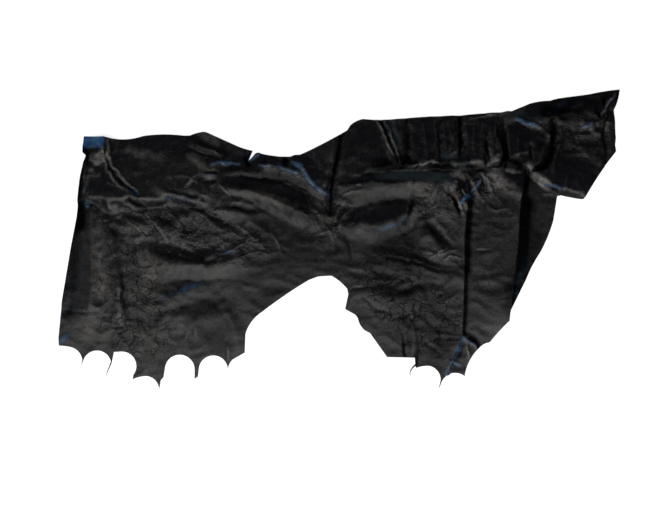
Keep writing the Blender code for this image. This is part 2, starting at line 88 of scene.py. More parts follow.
# Outline, clockwise from the top left: name, x, y, and how far the stretch to the
# next point swells outwards.
outline = [
    ("corner curl tip", -422.0, 170.9, 0.0),
    ("top start", -387.3, 170.1, -5.0),
    ("after dip", -324.4, 171.2, 2.5),
    ("shallow dip", -256.5, 171.9, 0.0),
    ("foot of peak", -245.8, 172.2, 0.7),
    ("peak", -225.1, 178.3, 0.5),
    ("peak far", -217.6, 177.0, 0.0),
    ("slope end", -167.2, 154.3, -0.7),
    ("notch lip left", -142.5, 147.0, 0.0),
    ("notch bottom", -149.9, 129.2, 0.0),
    ("notch lip right", -138.4, 141.8, 1.0),
    ("notch lip top", -130.7, 142.7, -0.5),
    ("saddle a", -97.6, 136.8, 0.0),
    ("saddle b", -80.3, 136.8, 0.0),
    ("small step", -73.8, 139.8, 0.0),
    ("small step end", -64.5, 140.3, -1.2),
    ("rise end", 13.6, 181.0, 0.0),
    ("shoulder start", 18.5, 188.8, 1.8),
    ("shoulder end", 39.7, 199.5, 0.0),
    ("band start", 67.5, 197.5, 0.0),
    ("band mid", 150.6, 203.8, -0.3),
    ("band step", 183.7, 205.1, 0.0),
    ("band step end", 201.9, 205.3, 0.0),
    ("tuck one head", 216.8, 206.8, 0.0),
    ("band late", 233.4, 208.4, 0.0),
    ("band end", 268.1, 210.1, 0.0),
    ("tuft", 278.5, 212.6, 0.0),
    ("tuft end", 285.5, 212.4, 0.0),
    ("arm rise", 315.9, 225.0, 1.2),
    ("arm top", 349.2, 229.8, 0.8),
    ("arm mid", 381.8, 236.1, 0.0),
    ("arm late", 415.4, 240.6, 1.0),
    ("arm tip", 464.1, 248.0, 1.5),
    ("arm waist", 454.6, 214.6, 0.0),
    ("arm side", 458.1, 168.2, 0.0),
    ("arm nick", 456.8, 156.6, 0.0),
    ("arm corner", 458.4, 147.5, 0.0),
    ("arm corner low", 457.1, 144.1, -1.5),
    ("flap toe right", 406.5, 70.9, 0.5),
    ("flap toe", 402.7, 67.4, 0.7),
    ("flap heel", 367.9, 73.6, 0.3),
    ("inner corner", 361.1, 72.2, 0.0),
    ("side a", 354.8, 32.5, 1.7),
    ("side b", 332.7, -21.6, -1.3),
    ("side c", 310.1, -64.8, 0.0),
    ("side d", 284.7, -116.4, 0.0),
    ("side corner", 279.7, -135.3, -0.7),
    ("lobe right a", 250.9, -168.4, 0.3),
    ("lobe right b", 247.1, -170.4, -1.0),
    ("lobe right c", 235.2, -176.3, -5.1),
    ("lobe right toe", 208.0, -225.8, -4.6),
    ("tuck one foot", 178.7, -224.3, -1.0),
    ("cusp right", 169.8, -234.9, 0.0),
    ("cusp right strand", 164.8, -248.0, 0.0),
    ("cusp right back", 168.1, -232.3, -5.1),
    ("scallop right top", 150.6, -208.9, -1.3),
    ("lobe step toe", 127.9, -212.3, 0.0),
    ("strand root low", 126.9, -209.1, -0.5),
    ("strand mid low", 119.3, -216.7, -0.8),
    ("strand end", 118.5, -227.6, 1.3),
    ("strand mid high", 118.3, -215.4, 0.5),
    ("strand root high", 126.3, -205.5, 0.0),
    ("lobe step", 125.4, -195.4, 0.0),
    ("lobe bay corner", 79.6, -194.2, 0.0),
    ("bay right a", 51.3, -154.5, 0.0),
    ("bay right b", 42.7, -150.2, 1.2),
    ("bay right c", 32.4, -135.0, -1.2),
    ("bay right d", 26.5, -124.0, 0.0),
    ("bay spur", 10.3, -114.8, 0.0),
    ("bay side", 15.7, -89.1, 0.5),
    ("bay side top", 13.9, -81.8, -1.7),
    ("bay top right", -12.4, -59.8, -0.3),
    ("bay top left", -34.8, -61.2, 0.0),
    ("bay shoulder", -49.8, -66.8, -1.5),
    ("bay curve", -127.4, -119.7, -4.1),
    ("bay left side", -154.7, -156.1, 0.0),
    ("bay left corner", -155.9, -186.9, 0.0),
    ("left lobe b", -175.4, -198.0, -1.7),
    ("cusp 5", -183.7, -214.4, -21.8),
    ("tab 4 right top", -231.7, -212.4, 0.0),
    ("tab 4 right", -233.4, -226.7, 0.0),
    ("tab 4 toe", -238.8, -230.5, 0.0),
    ("tab 4 left top", -238.7, -214.1, -23.7),
    ("tab 3 right", -288.0, -214.1, 0.0),
    ("tab 3 step", -290.3, -227.8, 0.0),
    ("tab 3 step in", -294.8, -232.6, 0.0),
    ("tab 3 toe", -297.4, -248.0, -5.6),
    ("scallop 3 top", -317.8, -225.7, -1.5),
    ("tab 3 left toe", -341.1, -231.1, 0.0),
    ("tab 3 left", -340.1, -223.8, -14.9),
    ("scallop 2 top", -362.4, -185.3, 0.0),
    ("scallop 2 corner", -372.4, -185.9, 0.0),
    ("cusp 2", -376.0, -204.0, 0.0),
    ("cusp 2 strand mid", -383.0, -219.7, 0.0),
    ("cusp 2 strand end", -385.8, -227.1, 0.0),
    ("cusp 2 strand back", -384.0, -219.0, 0.0),
    ("cusp 2 back", -377.2, -201.7, -17.5),
    ("cusp 1 back", -423.0, -200.2, 0.0),
    ("cusp 1 strand", -426.5, -208.0, 0.0),
    ("cusp 1", -424.5, -199.2, -5.0),
    ("left toe curve", -445.2, -177.3, -0.3),
    ("left toe", -463.4, -175.2, 0.0),
    ("left side a", -463.9, -162.8, 0.0),
    ("left side b", -458.1, -99.9, 0.0),
    ("left side c", -444.2, -16.0, 0.0),
    ("left side d", -433.1, 39.1, 0.0),
    ("left side e", -431.5, 55.7, 0.0),
    ("left side f", -432.1, 65.6, 0.0),
    ("left side g", -428.5, 98.1, 0.5),
    ("left side h", -422.9, 124.4, 0.5),
    ("curl nick", -416.6, 138.8, 0.0),
    ("curl side low", -423.2, 144.1, 0.0),
    ("curl side", -423.5, 155.0, 0.0),
]

# Tucks: the outline points at head and foot, then the rows between them as x, y, how far
# the sheet turns under in degrees and the length of its hidden return, and at last the
# turn and the return at the foot. Where the turn is 0 the sheet runs on flat.
tucks = [
    (
        "tuck one head",
        "tuck one foot",
        [
            (216.0, 150.0, 0, 0.0),
            (215.8, 105.3, 0, 0.0),
            (213.6, 82.0, 70, 2.0),
            (211.4, 60.7, 150, 6.0),
            (207.1, 16.0, 168, 9.0),
            (206.1, -50.2, 170, 10.0),
            (203.1, -158.8, 165, 8.0),
            (193.0, -184.6, 130, 3.0),
        ],
        (100, 1.0),
    ),
    (
        "arm rise",
        "side corner",
        [
            (312.5, 165.0, 0, 0.0),
            (309.8, 131.8, 0, 0.0),
            (306.0, 112.0, 60, 2.0),
            (299.4, 65.6, 160, 8.0),
            (296.1, 16.0, 168, 9.0),
            (293.6, -33.7, 168, 9.0),
            (286.2, -68.4, 165, 8.0),
        ],
        (120, 2.0),
    ),
]

# Broad folds: name, reach to the left and to the right of the way it runs, and its
# crest as (x, y, height). The higher of two folds wins where they meet.
folds = [
    ("upper left slope", 98, 22,
     [(-432, 71, 3), (-412, 71, 9), (-379, 67, 12), (-328, 71, 13), (-280, 76, 12), (-230, 67, 11),
      (-187, 51, 4)]),
    ("upper middle slope", 40, 24,
     [(-190, 89, 5), (-147, 80, 8), (-106, 67, 8), (-61, 44, 8), (-17, 31, 3)]),
    ("neck ridge", 30, 20,
     [(-222, 105, 2), (-180, 110, 4), (-127, 114, 4.5), (-89, 114, 5), (-60, 109, 6), (-31, 86, 4)]),
    ("ruffle crest", 78, 16,
     [(10, 102, 1.5), (64, 120, 5.5), (118, 125, 9), (167, 125, 10.5), (217, 132, 11), (266, 130, 11),
      (313, 122, 6)]),
    ("ledge crest", 30, 30,
     [(-5, 82, 3), (31, 87, 6), (76, 95, 8), (131, 95, 8), (184, 92, 7), (204, 102, 3)]),
    ("lens crest", 28, 30, [(-10, 34, 2), (22, 28, 3.5), (53, 22, 4.5), (89, 33, 5.5), (118, 50, 3)]),
    ("trough crest", 28, 34,
     [(-316, -27, 2), (-288, -35, 5), (-238, -42, 6), (-197, -40, 5), (-170, -29, 2)]),
    ("left flank", 24, 36, [(-412, 46, 6), (-407, 8, 6), (-407, -50, 6), (-410, -108, 5), (-425, -153, 1)]),
    ("left plateau", 14, 24, [(-381, 29, 2), (-376, -17, 4), (-367, -75, 5), (-362, -120, 3)]),
    ("lower streak", 26, 26,
     [(-316, -106, 1), (-285, -98, 2), (-247, -83, 2.5), (-218, -73, 1.5), (-187, -73, 1)]),
    ("lower band", 22, 22, [(-296, -130, 1), (-263, -128, 1.5), (-222, -128, 1.5), (-187, -121, 1)]),
    ("bay facet", 16, 20, [(-190, -110, 1), (-180, -130, 1.8), (-170, -158, 1.8), (-167, -181, 1)]),
    ("left roll", 30, 9, [(-415, 134, 8), (-417, 102, 9), (-420, 66, 7), (-422, 32, 4)]),
    ("corner curl", 22, 26, [(-419, 140, 9), (-404, 140, 13), (-391, 150, 14), (-386, 167, 10)]),
    ("top knuckle", 18, 18, [(-237, 163, 2), (-222, 155, 5), (-204, 145, 5), (-187, 132, 2)]),
    ("knot", 14, 14, [(-220, 79, 2), (-200, 84, 5), (-184, 72, 4), (-164, 64, 1)]),
    ("cheek", 18, 26, [(-276, 19, 1), (-256, 39, 4), (-230, 42, 5), (-204, 29, 3), (-194, 6, 1)]),
    ("mid wrinkle", 18, 20, [(-362, 19, 1), (-329, 26, 3), (-296, 23, 3), (-266, 9, 3), (-237, -7, 1)]),
    ("flap", 60, 12, [(311, 117, 3), (333, 105, 8), (362, 87, 9), (402, 77, 7)]),
    ("arm crest", 22, 30, [(324, 201, 3), (366, 211, 5), (415, 211, 6), (442, 195, 5), (437, 185, 2)]),
    ("arm tail", 16, 16, [(462, 244, 1), (445, 224, 4), (429, 201, 5)]),
    ("right valley side", 16, 30, [(139, 29, 1), (151, 9, 3.5), (167, -14, 3), (187, -27, 1)]),
    ("low right band", 18, 24, [(22, -87, 0.8), (76, -95, 1.5), (118, -95, 2), (156, -83, 0.8)]),
    ("low right curve", 20, 26, [(73, -30, 1), (122, -42, 2), (167, -54, 2), (200, -62, 1)]),
    ("crumple", 20, 20, [(179, 57, 1), (195, 72, 6), (210, 89, 8), (230, 102, 6), (253, 112, 3)]),
    ("panel top", 16, 18, [(247, 86, 2), (266, 102, 5), (290, 92, 3), (300, 79, 1)]),
]

# Creases, laid over the folds: as above, a negative height is a groove.
creases = [
    ("pinched groove", 4, 4,
     [(-386, 167, -0.4), (-386, 140, -0.5), (-379, 120, -0.6), (-362, 99, -0.6), (-344, 82, -1),
      (-329, 72, -0.8)]),
    ("neck cleft", 11, 11, [(5, 175, -3), (0, 148, -8), (-7, 115, -8), (-13, 82, -6), (-15, 42, -2)]),
    ("twin rib", 10, 10, [(70, 196, 2), (79, 168, 4), (89, 140, 4), (98, 125, 1)]),
    ("ruffle one", 10, 9, [(108, 196, -2), (112, 165, -6), (114, 135, -2)]),
    ("ruffle two", 9, 9, [(167, 198, -2), (167, 165, -4), (166, 132, -1)]),
    ("ruffle three", 10, 10, [(200, 200, -2), (200, 168, -8), (200, 140, -3)]),
    ("ruffle four", 9, 9, [(245, 190, -1), (245, 157, -5), (245, 127, -2)]),
    ("ruffle five", 10, 10, [(265, 196, -2), (271, 165, -8), (275, 137, -8), (266, 120, -2)]),
    ("shoulder cleft", 10, 10,
     [(359, 196, -3), (354, 168, -7), (346, 145, -7), (341, 127, -7), (329, 112, -2)]),
    ("flank cleft", 9, 9, [(439, 176, -2), (437, 148, -4), (439, 122, -2)]),
]

# Fine creases, written the same way: sharp ridges and grooves a few millimetres wide.
fineCreases = [
    ("corner nick", 3, 3, [(-422, 150, -1), (-415, 143, -3)]),
    ("corner edge crease", 5, 4, [(-417, 138, 1.5), (-402, 127, 0.5)]),
    ("groove lip upper", 3, 3,
     [(-381, 165, 1), (-381, 142, 1.5), (-374, 122, 1.5), (-359, 104, 1.5), (-343, 87, 1.2),
      (-331, 81, 0.3)]),
    ("groove lip lower", 3, 3,
     [(-391, 157, 0.6), (-389, 135, 1.2), (-382, 115, 1.3), (-366, 94, 1.3), (-348, 80, 0.6)]),
    ("groove bed", 2.5, 2.5,
     [(-386, 160, -0.7), (-386, 138, -0.9), (-378, 119, -1.1), (-362, 98, -1.2), (-344, 83, -1.3),
      (-333, 74, -0.8)]),
    ("groove tail", 2.5, 2.5, [(-328, 69, 1), (-314, 51, 0.3)]),
    ("margin streak one", 2.5, 2.5, [(-419, 104, 0.8), (-396, 105, 0.3)]),
    ("margin streak two", 2.5, 2.5, [(-379, 94, 0.8), (-367, 89, 0.3)]),
    ("brow hollow", 7, 5, [(-348, 62, -1), (-334, 57, -2), (-323, 54, -0.5)]),
    ("brow groove", 8, 6, [(-283, 81, -0.8), (-247, 72, -1.5), (-222, 66, -1.5), (-194, 52, -0.8)]),
    ("brow ridge", 4, 5, [(-276, 69, 0.5), (-247, 61, 1.3), (-222, 54, 1.3), (-197, 44, 0.6)]),
    ("cross crease one", 2.5, 2.5, [(-253, 107, 0.3), (-243, 99, 1), (-233, 92, 0.3)]),
    ("cross crease two", 2.5, 2.5, [(-233, 107, 0.3), (-242, 100, 1), (-253, 90, 0.3)]),
    ("margin groove", 2.5, 2.5, [(-389, 31, -1), (-359, 37, -0.8)]),
    ("cheek ridge", 4, 5, [(-288, 57, 0.6), (-276, 44, 1.4), (-260, 16, 0.6)]),
    ("cheek hollow left", 9, 7, [(-377, 23, -0.8), (-369, 13, -1.8), (-361, 1, -0.5)]),
    ("cheek hollow right", 6, 6, [(-301, 39, -0.6), (-288, 34, -1.8), (-275, 31, -0.6)]),
    ("shadow hollow", 7, 6, [(-184, 56, -0.8), (-162, 51, -2.2), (-141, 46, -0.6)]),
    ("fan one", 3, 3, [(-329, 37, -0.6), (-309, 19, -1.2), (-296, -6, -0.5)]),
    ("fan two", 3, 3, [(-319, 41, 0.5), (-300, 23, 1), (-286, -2, 0.4)]),
    ("fan three", 2.5, 3, [(-309, 14, -0.8), (-329, -6, -0.4)]),
    ("fan four", 2.5, 3, [(-349, 29, 0.5), (-331, 16, 0.9), (-318, -2, 0.3)]),
    ("trough ridge", 5, 4, [(-263, -1, 0.6), (-233, -9, 1.6), (-205, -20, 0.8)]),
    ("trough line", 3, 3, [(-200, -24, 0.5), (-185, -20, 1.2), (-170, -19, 0.5)]),
    ("trough groove", 5, 5, [(-309, -17, -0.6), (-270, -27, -1.1), (-230, -35, -1.1), (-190, -35, -0.5)]),
    ("knuckle groove", 9, 8, [(-247, 152, -1), (-222, 145, -2.6), (-194, 135, -1)]),
    ("shoulder swell", 9, 8, [(-242, 135, 0.6), (-228, 122, 1.8), (-215, 104, 0.6)]),
    ("streak ridge one", 4, 3.5, [(-213, 121, 0.6), (-189, 125, 2), (-166, 124, 0.6)]),
    ("white line", 2.5, 2.5, [(-232, 105, 0.5), (-217, 106, 1.2), (-200, 106, 0.5)]),
    ("black lens", 3.5, 3, [(-223, 111, -0.6), (-212, 111, -1.4), (-200, 111, -0.6)]),
    ("knot hollow", 6, 6, [(-230, 97, -0.6), (-213, 97, -1.8), (-195, 94, -0.6)]),
    ("zigzag ridge", 3, 3, [(-210, 87, 0.6), (-200, 94, 1.4), (-194, 87, 1.4), (-180, 76, 0.5)]),
    ("brow tick", 3, 3, [(-255, 87, 0.6), (-242, 97, 1.2)]),
    ("notch lip", 4, 3, [(-147, 128, 1), (-134, 140, 1.6)]),
    ("thumb hollow", 5, 5, [(-98, 128, -2.2), (-80, 128, -2.2)]),
    ("neck streak one", 3.5, 3, [(-131, 123, 0.6), (-118, 121, 2), (-103, 116, 0.6)]),
    ("neck streak two", 3, 3, [(-99, 119, 0.6), (-84, 115, 1.6), (-70, 109, 0.5)]),
    ("neck streak three", 4, 3,
     [(-78, 127, 0.6), (-61, 114, 2.4), (-45, 94, 2.4), (-28, 79, 1.6), (-13, 71, 0.4)]),
    ("neck line", 2.5, 2.5, [(-114, 102, 0.4), (-84, 95, 0.9), (-55, 79, 0.9), (-35, 61, 0.4)]),
    ("cleft bed", 3.5, 3.5, [(3, 172, -1), (-2, 140, -3), (-8, 115, -3.5), (-13, 82, -3.5), (-14, 42, -1)]),
    ("fan a", 3, 3, [(-56, 71, 0.4), (-35, 46, 1), (-18, 18, 0.3)]),
    ("fan b", 2.5, 3, [(-45, 79, 0.4), (-26, 56, 1), (-15, 26, 0.3)]),
    ("fan c", 3, 3, [(13, 69, 0.4), (-2, 47, 1), (-10, 19, 0.3)]),
    ("fan d", 3, 2.5, [(22, 52, 0.4), (5, 34, 1), (-7, 6, 0.3)]),
    ("fan e", 3, 3, [(-38, 6, 0.3), (-18, 13, 0.8), (7, 4, 0.3)]),
    ("fan f", 2.5, 2.5, [(-65, 56, -0.4), (-43, 34, -1), (-28, 6, -0.3)]),
    ("fan g", 2.5, 2.5, [(10, 56, -0.4), (-2, 33, -1.1), (-5, 3, -0.3)]),
    ("fan h", 2.5, 2.5, [(-28, 29, 0.3), (-13, 11, 0.9), (-8, -12, 0.3)]),
    ("belly line", 2.5, 2.5, [(-111, 11, 0.5), (-103, -4, 1.1), (-94, -19, 0.3)]),
    ("tangle one", 3, 3, [(-187, 19, 0.4), (-164, 3, 1), (-144, -17, 0.3)]),
    ("tangle two", 3, 2.5, [(-172, 23, 0.4), (-147, 13, 1), (-127, -11, 0.3)]),
    ("tangle three", 2.5, 3, [(-184, -20, 0.4), (-157, -7, 1.1), (-118, -1, 0.3)]),
    ("tangle four", 2.5, 3, [(-164, -34, 0.3), (-137, -20, 1), (-114, -27, 0.3)]),
    ("tangle groove", 4, 4, [(-180, 6, -0.5), (-154, -2, -1.5), (-127, -20, -0.4)]),
    ("waist groove", 3.5, 3.5, [(8, 9, -0.6), (15, -11, -2), (18, -29, -0.5)]),
    ("flank groove", 7, 5, [(-359, -67, -0.5), (-356, -87, -2), (-353, -110, -2), (-351, -128, -0.5)]),
    ("flank ridge", 7, 5, [(-367, -72, 0.3), (-364, -93, 0.7), (-361, -120, 0.3)]),
    ("dimple", 5, 5, [(-386, -125, -0.4), (-376, -131, -1.4), (-362, -141, -0.4)]),
    ("dimple line", 3, 3, [(-386, -140, -0.5), (-366, -145, -1.4), (-344, -143, -0.4)]),
    ("hem line", 3, 3, [(-452, -115, -0.4), (-425, -120, -1), (-397, -121, -0.4)]),
    ("streak tail", 3, 3, [(-339, -111, -0.5), (-318, -106, -1.2), (-298, -102, -0.5)]),
    ("hem column one", 5, 6, [(-291, -163, 0.3), (-291, -178, 0.9), (-291, -191, 0.3)]),
    ("hem column two", 5, 6, [(-250, -138, 0.3), (-250, -163, 0.9), (-250, -186, 0.3)]),
    ("hem column three", 5, 5, [(-237, -130, 0.3), (-237, -146, 0.9), (-237, -161, 0.3)]),
    ("hem column four", 4, 4, [(-184, -171, 0.3), (-182, -186, 0.9), (-182, -201, 0.3)]),
    ("hem column five", 6, 7, [(-329, -133, 0.3), (-326, -159, 0.9), (-328, -186, 0.3)]),
    ("twin rib left", 3, 2.5, [(64, 196, 1), (78, 163, 2.2), (94, 130, 1)]),
    ("twin rib right", 2.5, 3, [(73, 198, 1), (88, 162, 2.2), (103, 122, 1)]),
    ("twin rib bed", 2.2, 2.2, [(69, 196, -1.2), (83, 162, -2.4), (98, 127, -1.2)]),
    ("green stripe", 5, 6, [(84, 196, -0.8), (91, 172, -2), (98, 148, -0.6)]),
    ("ruffle bed one", 4, 3.5, [(108, 200, -1), (113, 162, -3), (116, 125, -1)]),
    ("ruffle bed two", 3.5, 3.5, [(167, 201, -1), (167, 162, -2), (167, 124, -1)]),
    ("ruffle bed three", 3.5, 4, [(200, 203, -2), (200, 168, -4), (199, 138, -2)]),
    ("ruffle bed four", 4, 4, [(245, 185, -0.6), (245, 145, -3), (245, 125, -1)]),
    ("ruffle bed five", 5, 4.5, [(266, 198, -2), (273, 165, -4), (276, 138, -4), (268, 120, -1)]),
    ("ruffle roll one", 6, 6, [(139, 195, 0.6), (141, 165, 1.6), (141, 138, 0.6)]),
    ("ruffle roll two", 5, 5, [(184, 195, 0.6), (184, 168, 1.8), (184, 148, 0.6)]),
    ("ruffle roll three", 6, 6, [(223, 198, 0.6), (222, 168, 1.8), (222, 145, 0.6)]),
    ("ruffle roll four", 4, 5, [(258, 195, 0.5), (260, 168, 1.4), (260, 145, 0.5)]),
    ("ruffle roll five", 6, 6, [(295, 178, 0.6), (296, 155, 1.6), (300, 135, 0.6)]),
    ("band knuckle a", 5, 4, [(86, 122, 0.4), (94, 125, 0.8), (104, 130, 0.4)]),
    ("band knuckle b", 4, 4, [(119, 119, 0.8), (126, 124, 2.4), (134, 124, 0.8)]),
    ("band knuckle c", 4, 4, [(134, 119, 0.8), (151, 128, 2.4), (167, 121, 0.8)]),
    ("band knuckle d", 4, 4, [(182, 137, 0.8), (192, 143, 2), (202, 147, 0.8)]),
    ("band knuckle e", 4, 4, [(232, 119, 0.8), (242, 125, 2.4), (252, 125, 0.8)]),
    ("band knuckle f", 4, 4, [(248, 133, 0.8), (257, 140, 2.2), (266, 143, 0.8)]),
    ("band knuckle g", 4, 4, [(286, 135, 0.4), (300, 142, 0.9), (316, 145, 0.4)]),
    ("ledge line", 3, 3, [(-7, 85, 0.5), (31, 92, 1.4), (70, 95, 0.5)]),
    ("ledge line two", 3, 3, [(8, 73, 0.5), (22, 78, 1.1), (36, 81, 0.5)]),
    ("lens fold", 4, 5, [(124, 112, -0.5), (122, 82, -1.6), (116, 49, -2), (108, 29, -0.6)]),
    ("mid right valley", 10, 8, [(141, 39, -0.5), (157, 13, -1.3), (179, -15, -0.6)]),
    ("mid right edge", 5, 5, [(151, 46, 0.3), (169, 19, 0.8), (189, -6, 0.3)]),
    ("crumple line one", 2.5, 2.5, [(142, -17, 0.4), (167, -24, 1), (194, -17, 0.4)]),
    ("crumple line two", 2.5, 2.5, [(146, -30, 0.4), (161, -22, 1), (177, -14, 0.4)]),
    ("crumple line three", 2.5, 2.5, [(169, -37, 0.4), (184, -27, 0.9), (202, -29, 0.4)]),
    ("crumple ridge a", 4, 4, [(184, 85, 0.8), (195, 66, 2.4), (204, 44, 0.8)]),
    ("crumple ridge b", 3.5, 4, [(194, 97, 0.8), (209, 76, 2.4), (209, 52, 0.8)]),
    ("crumple ridge c", 4, 4, [(213, 105, 0.8), (227, 82, 2.4), (238, 59, 0.8)]),
    ("crumple ridge d", 4, 4, [(230, 119, 0.8), (247, 99, 2.4), (253, 72, 0.8)]),
    ("crumple ridge e", 3.5, 3.5, [(250, 115, 0.8), (261, 99, 2), (275, 81, 0.8)]),
    ("crumple slit a", 3.5, 3, [(187, 67, -1.5), (194, 56, -3.5), (200, 44, -1.5)]),
    ("crumple slit b", 3, 3, [(202, 89, -1), (210, 79, -2.6), (217, 61, -1)]),
    ("crumple slit c", 3, 3, [(237, 105, -1), (240, 85, -2.2), (247, 69, -0.8)]),
    ("crumple glint a", 4, 3.5, [(202, 62, 0.8), (210, 69, 2.4), (218, 76, 0.8)]),
    ("crumple glint b", 4, 3.5, [(223, 82, 0.8), (228, 90, 2.2), (235, 99, 0.8)]),
    ("panel swell", 5, 5, [(217, 23, 0.4), (223, 21, 1.2), (232, 21, 0.4)]),
    ("panel swell low", 7, 7, [(240, -65, 0.3), (253, -68, 0.9), (268, -73, 0.3)]),
    ("panel line", 2.5, 2.5, [(228, -19, -0.5), (240, -19, -1), (252, -19, -0.5)]),
    ("panel wrinkle", 3, 3, [(243, 56, 0.4), (261, 47, 1), (280, 51, 0.4)]),
    ("arm line", 2.5, 2.5, [(217, 201, 0.5), (250, 206, 1.2), (281, 211, 0.5)]),
    ("arm swell", 6, 6, [(265, 186, 0.6), (280, 193, 1.8), (296, 201, 0.6)]),
    ("arm streak", 4, 3.5, [(293, 201, 0.8), (309, 196, 2.4), (323, 192, 2), (334, 186, 0.6)]),
    ("arm arc", 4, 4, [(333, 185, 0.6), (346, 173, 2), (351, 157, 0.6)]),
    ("cleft right bed", 5, 5,
     [(359, 196, -1.5), (356, 168, -3.5), (348, 145, -3.5), (338, 124, -3), (319, 115, -1)]),
    ("shoulder slit", 3, 3, [(316, 158, -1), (316, 147, -2.2), (316, 133, -1)]),
    ("tube ridge", 6, 7, [(367, 183, 0.8), (361, 148, 2.4), (353, 115, 0.8)]),
    ("flap tan facet", 6, 6, [(318, 118, 1), (331, 102, 2.6), (344, 85, 0.8)]),
    ("flap streak", 4, 4, [(341, 90, 0.8), (353, 90, 2), (367, 85, 0.6)]),
    ("flap hem line", 3, 3, [(338, 75, 0.4), (349, 73, 1.2), (361, 71, 0.4)]),
    ("tip line", 3, 3, [(458, 244, 0.6), (447, 226, 2.2), (439, 211, 2), (429, 201, 0.6)]),
    ("tip groove one", 2.5, 3, [(438, 236, -1), (438, 225, -2.4), (436, 213, -1)]),
    ("tip groove two", 3, 2.5, [(422, 197, -1), (428, 203, -2.4), (434, 210, -1)]),
    ("tip groove three", 2.5, 2.5, [(450, 215, -0.6), (442, 198, -1.6), (437, 180, -0.6)]),
    ("arm pale swell", 6, 5, [(382, 215, 0.4), (392, 220, 1.3), (402, 225, 0.4)]),
    ("flank bright one", 6, 5, [(402, 185, 1), (412, 190, 2.8), (420, 196, 0.8)]),
    ("flank bright two", 5, 5, [(414, 185, 0.6), (422, 180, 1.8), (430, 173, 0.5)]),
    ("flank swell one", 5, 5, [(377, 138, 0.4), (389, 142, 1.3), (401, 144, 0.4)]),
    ("flank swell two", 7, 7, [(401, 150, 0.5), (417, 137, 1.8), (434, 123, 0.5)]),
    ("flap swell", 5, 5, [(374, 105, 0.4), (374, 90, 1.2), (374, 76, 0.4)]),
    ("flank groove a", 4, 4, [(384, 185, -0.6), (389, 165, -1.8), (397, 148, -0.5)]),
    ("tuck foot right edge", 3, 3, [(206, -161, 1), (218, -171, 2.6), (232, -182, 1)]),
    ("tuck foot dark", 4, 3.5, [(210, -153, -1), (222, -164, -2.6), (235, -175, -1)]),
    ("tuck foot strip", 4, 4, [(209, -168, 0.5), (212, -179, 1.8), (214, -194, 0.5)]),
    ("tuck foot line", 2.5, 2.5, [(185, -201, 0.5), (194, -203, 1.4), (202, -206, 0.5)]),
    ("lower right crease", 3, 3, [(127, -116, -0.5), (128, -150, -1.3), (130, -183, -1.4), (132, -211, -1)]),
    ("lower right lip", 3.5, 3, [(121, -120, 0.2), (122, -158, 0.5), (124, -199, 0.2)]),
    ("lower right slit", 2.2, 2.2, [(104, -154, -0.8), (107, -174, -2.5), (109, -191, -3.5)]),
    ("lower right tick", 2.5, 2.5, [(88, -130, -0.5), (106, -125, -1.3), (126, -119, -0.5)]),
    ("panel arc", 3, 3,
     [(74, -27, -0.3), (98, -32, -0.8), (122, -39, -0.8), (167, -50, -0.6), (202, -59, -0.3)]),
    ("panel arc lip", 4.5, 4, [(78, -34, 0.2), (121, -45, 0.3), (167, -57, 0.3), (199, -65, 0.2)]),
    ("dark smear", 8, 7, [(91, -87, -0.5), (113, -82, -1.5), (136, -77, -0.5)]),
    ("small smear", 3, 3, [(20, -82, -0.4), (33, -80, -1.3), (46, -78, -0.4)]),
    ("low tick a", 2.5, 2.5, [(167, -105, 0.4), (184, -98, 1), (200, -90, 0.4)]),
    ("low tick b", 2.5, 2.5, [(166, -164, -0.4), (184, -161, -1), (204, -159, -0.4)]),
    ("low tick c", 2.5, 2.5, [(144, -171, -0.4), (156, -181, -1), (169, -191, -0.4)]),
    ("low tick d", 2.5, 2.5, [(45, -100, -0.4), (68, -115, -1), (88, -120, -0.4)]),
    ("low tick e", 2.5, 2.5, [(142, -110, -0.4), (149, -136, -1), (164, -153, -0.4)]),
]

# Where the sheet is crumpled: name, x, y, half width, half height and the crumple's height.
crumpleZones = [
    ("ruffle band", 190, 165, 200, 60, 0.3),
    ("ledge knots", 225, 90, 70, 50, 1.3),
    ("neck fan", -20, 40, 70, 80, 0.7),
    ("neck top", -60, 110, 120, 40, 0.6),
    ("cheek", -280, 30, 150, 60, 1.0),
    ("trough", -180, -10, 110, 50, 0.9),
    ("brow", -300, 130, 130, 60, 0.45),
    ("arm", 390, 160, 90, 100, 0.55),
    ("left lobe", -330, -110, 160, 110, 0.25),
    ("right lobe", 110, -100, 130, 120, 0.15),
    ("middle right", 156, 60, 62, 55, 1.1),
    ("dotted panel", 262, 95, 40, 30, 0.8),
]


def arcPoints(start, end, bow, step):
    (ax, ay), (bx, by) = start, end
    chord = math.hypot(bx - ax, by - ay)
    along = ((bx - ax) / chord, (by - ay) / chord)
    if abs(bow) < hide["leastBow"]:
        count = max(1, round(chord / step))
        return [(ax + (bx - ax) * i / count, ay + (by - ay) * i / count) for i in range(count)]
    outwards = (-along[1], along[0])
    half = chord / 2
    radius = (half * half + bow * bow) / (2 * abs(bow))
    sweep = 2 * math.atan2(abs(bow), half)
    count = max(2, round(2 * sweep * radius / step))
    middle = ((ax + bx) / 2, (ay + by) / 2)
    points = []
    for i in range(count):
        turn = sweep * (2 * i / count - 1)
        forward = radius * math.sin(turn)
        rise = math.copysign(radius * math.cos(turn) - radius + abs(bow), bow)
        points.append((middle[0] + along[0] * forward + outwards[0] * rise,
                       middle[1] + along[1] * forward + outwards[1] * rise))
    return points


def outlinePoints(step):
    points, places = [], {}
    for row, (name, x, y, bow) in enumerate(outline):
        nextX, nextY = outline[(row + 1) % len(outline)][1:3]
        places[name] = len(points)
        points += arcPoints((x, y), (nextX, nextY), bow, step)
    return points, places


def soft(t):
    t = np.clip(t, 0, 1)
    return (1 - t) ** 2 * (1 + 2 * t)


def broadSlope(t):
    t = np.clip(t, 0, 1)
    return hide["foldStraight"] * (1 - t) + (1 - hide["foldStraight"]) * soft(t)


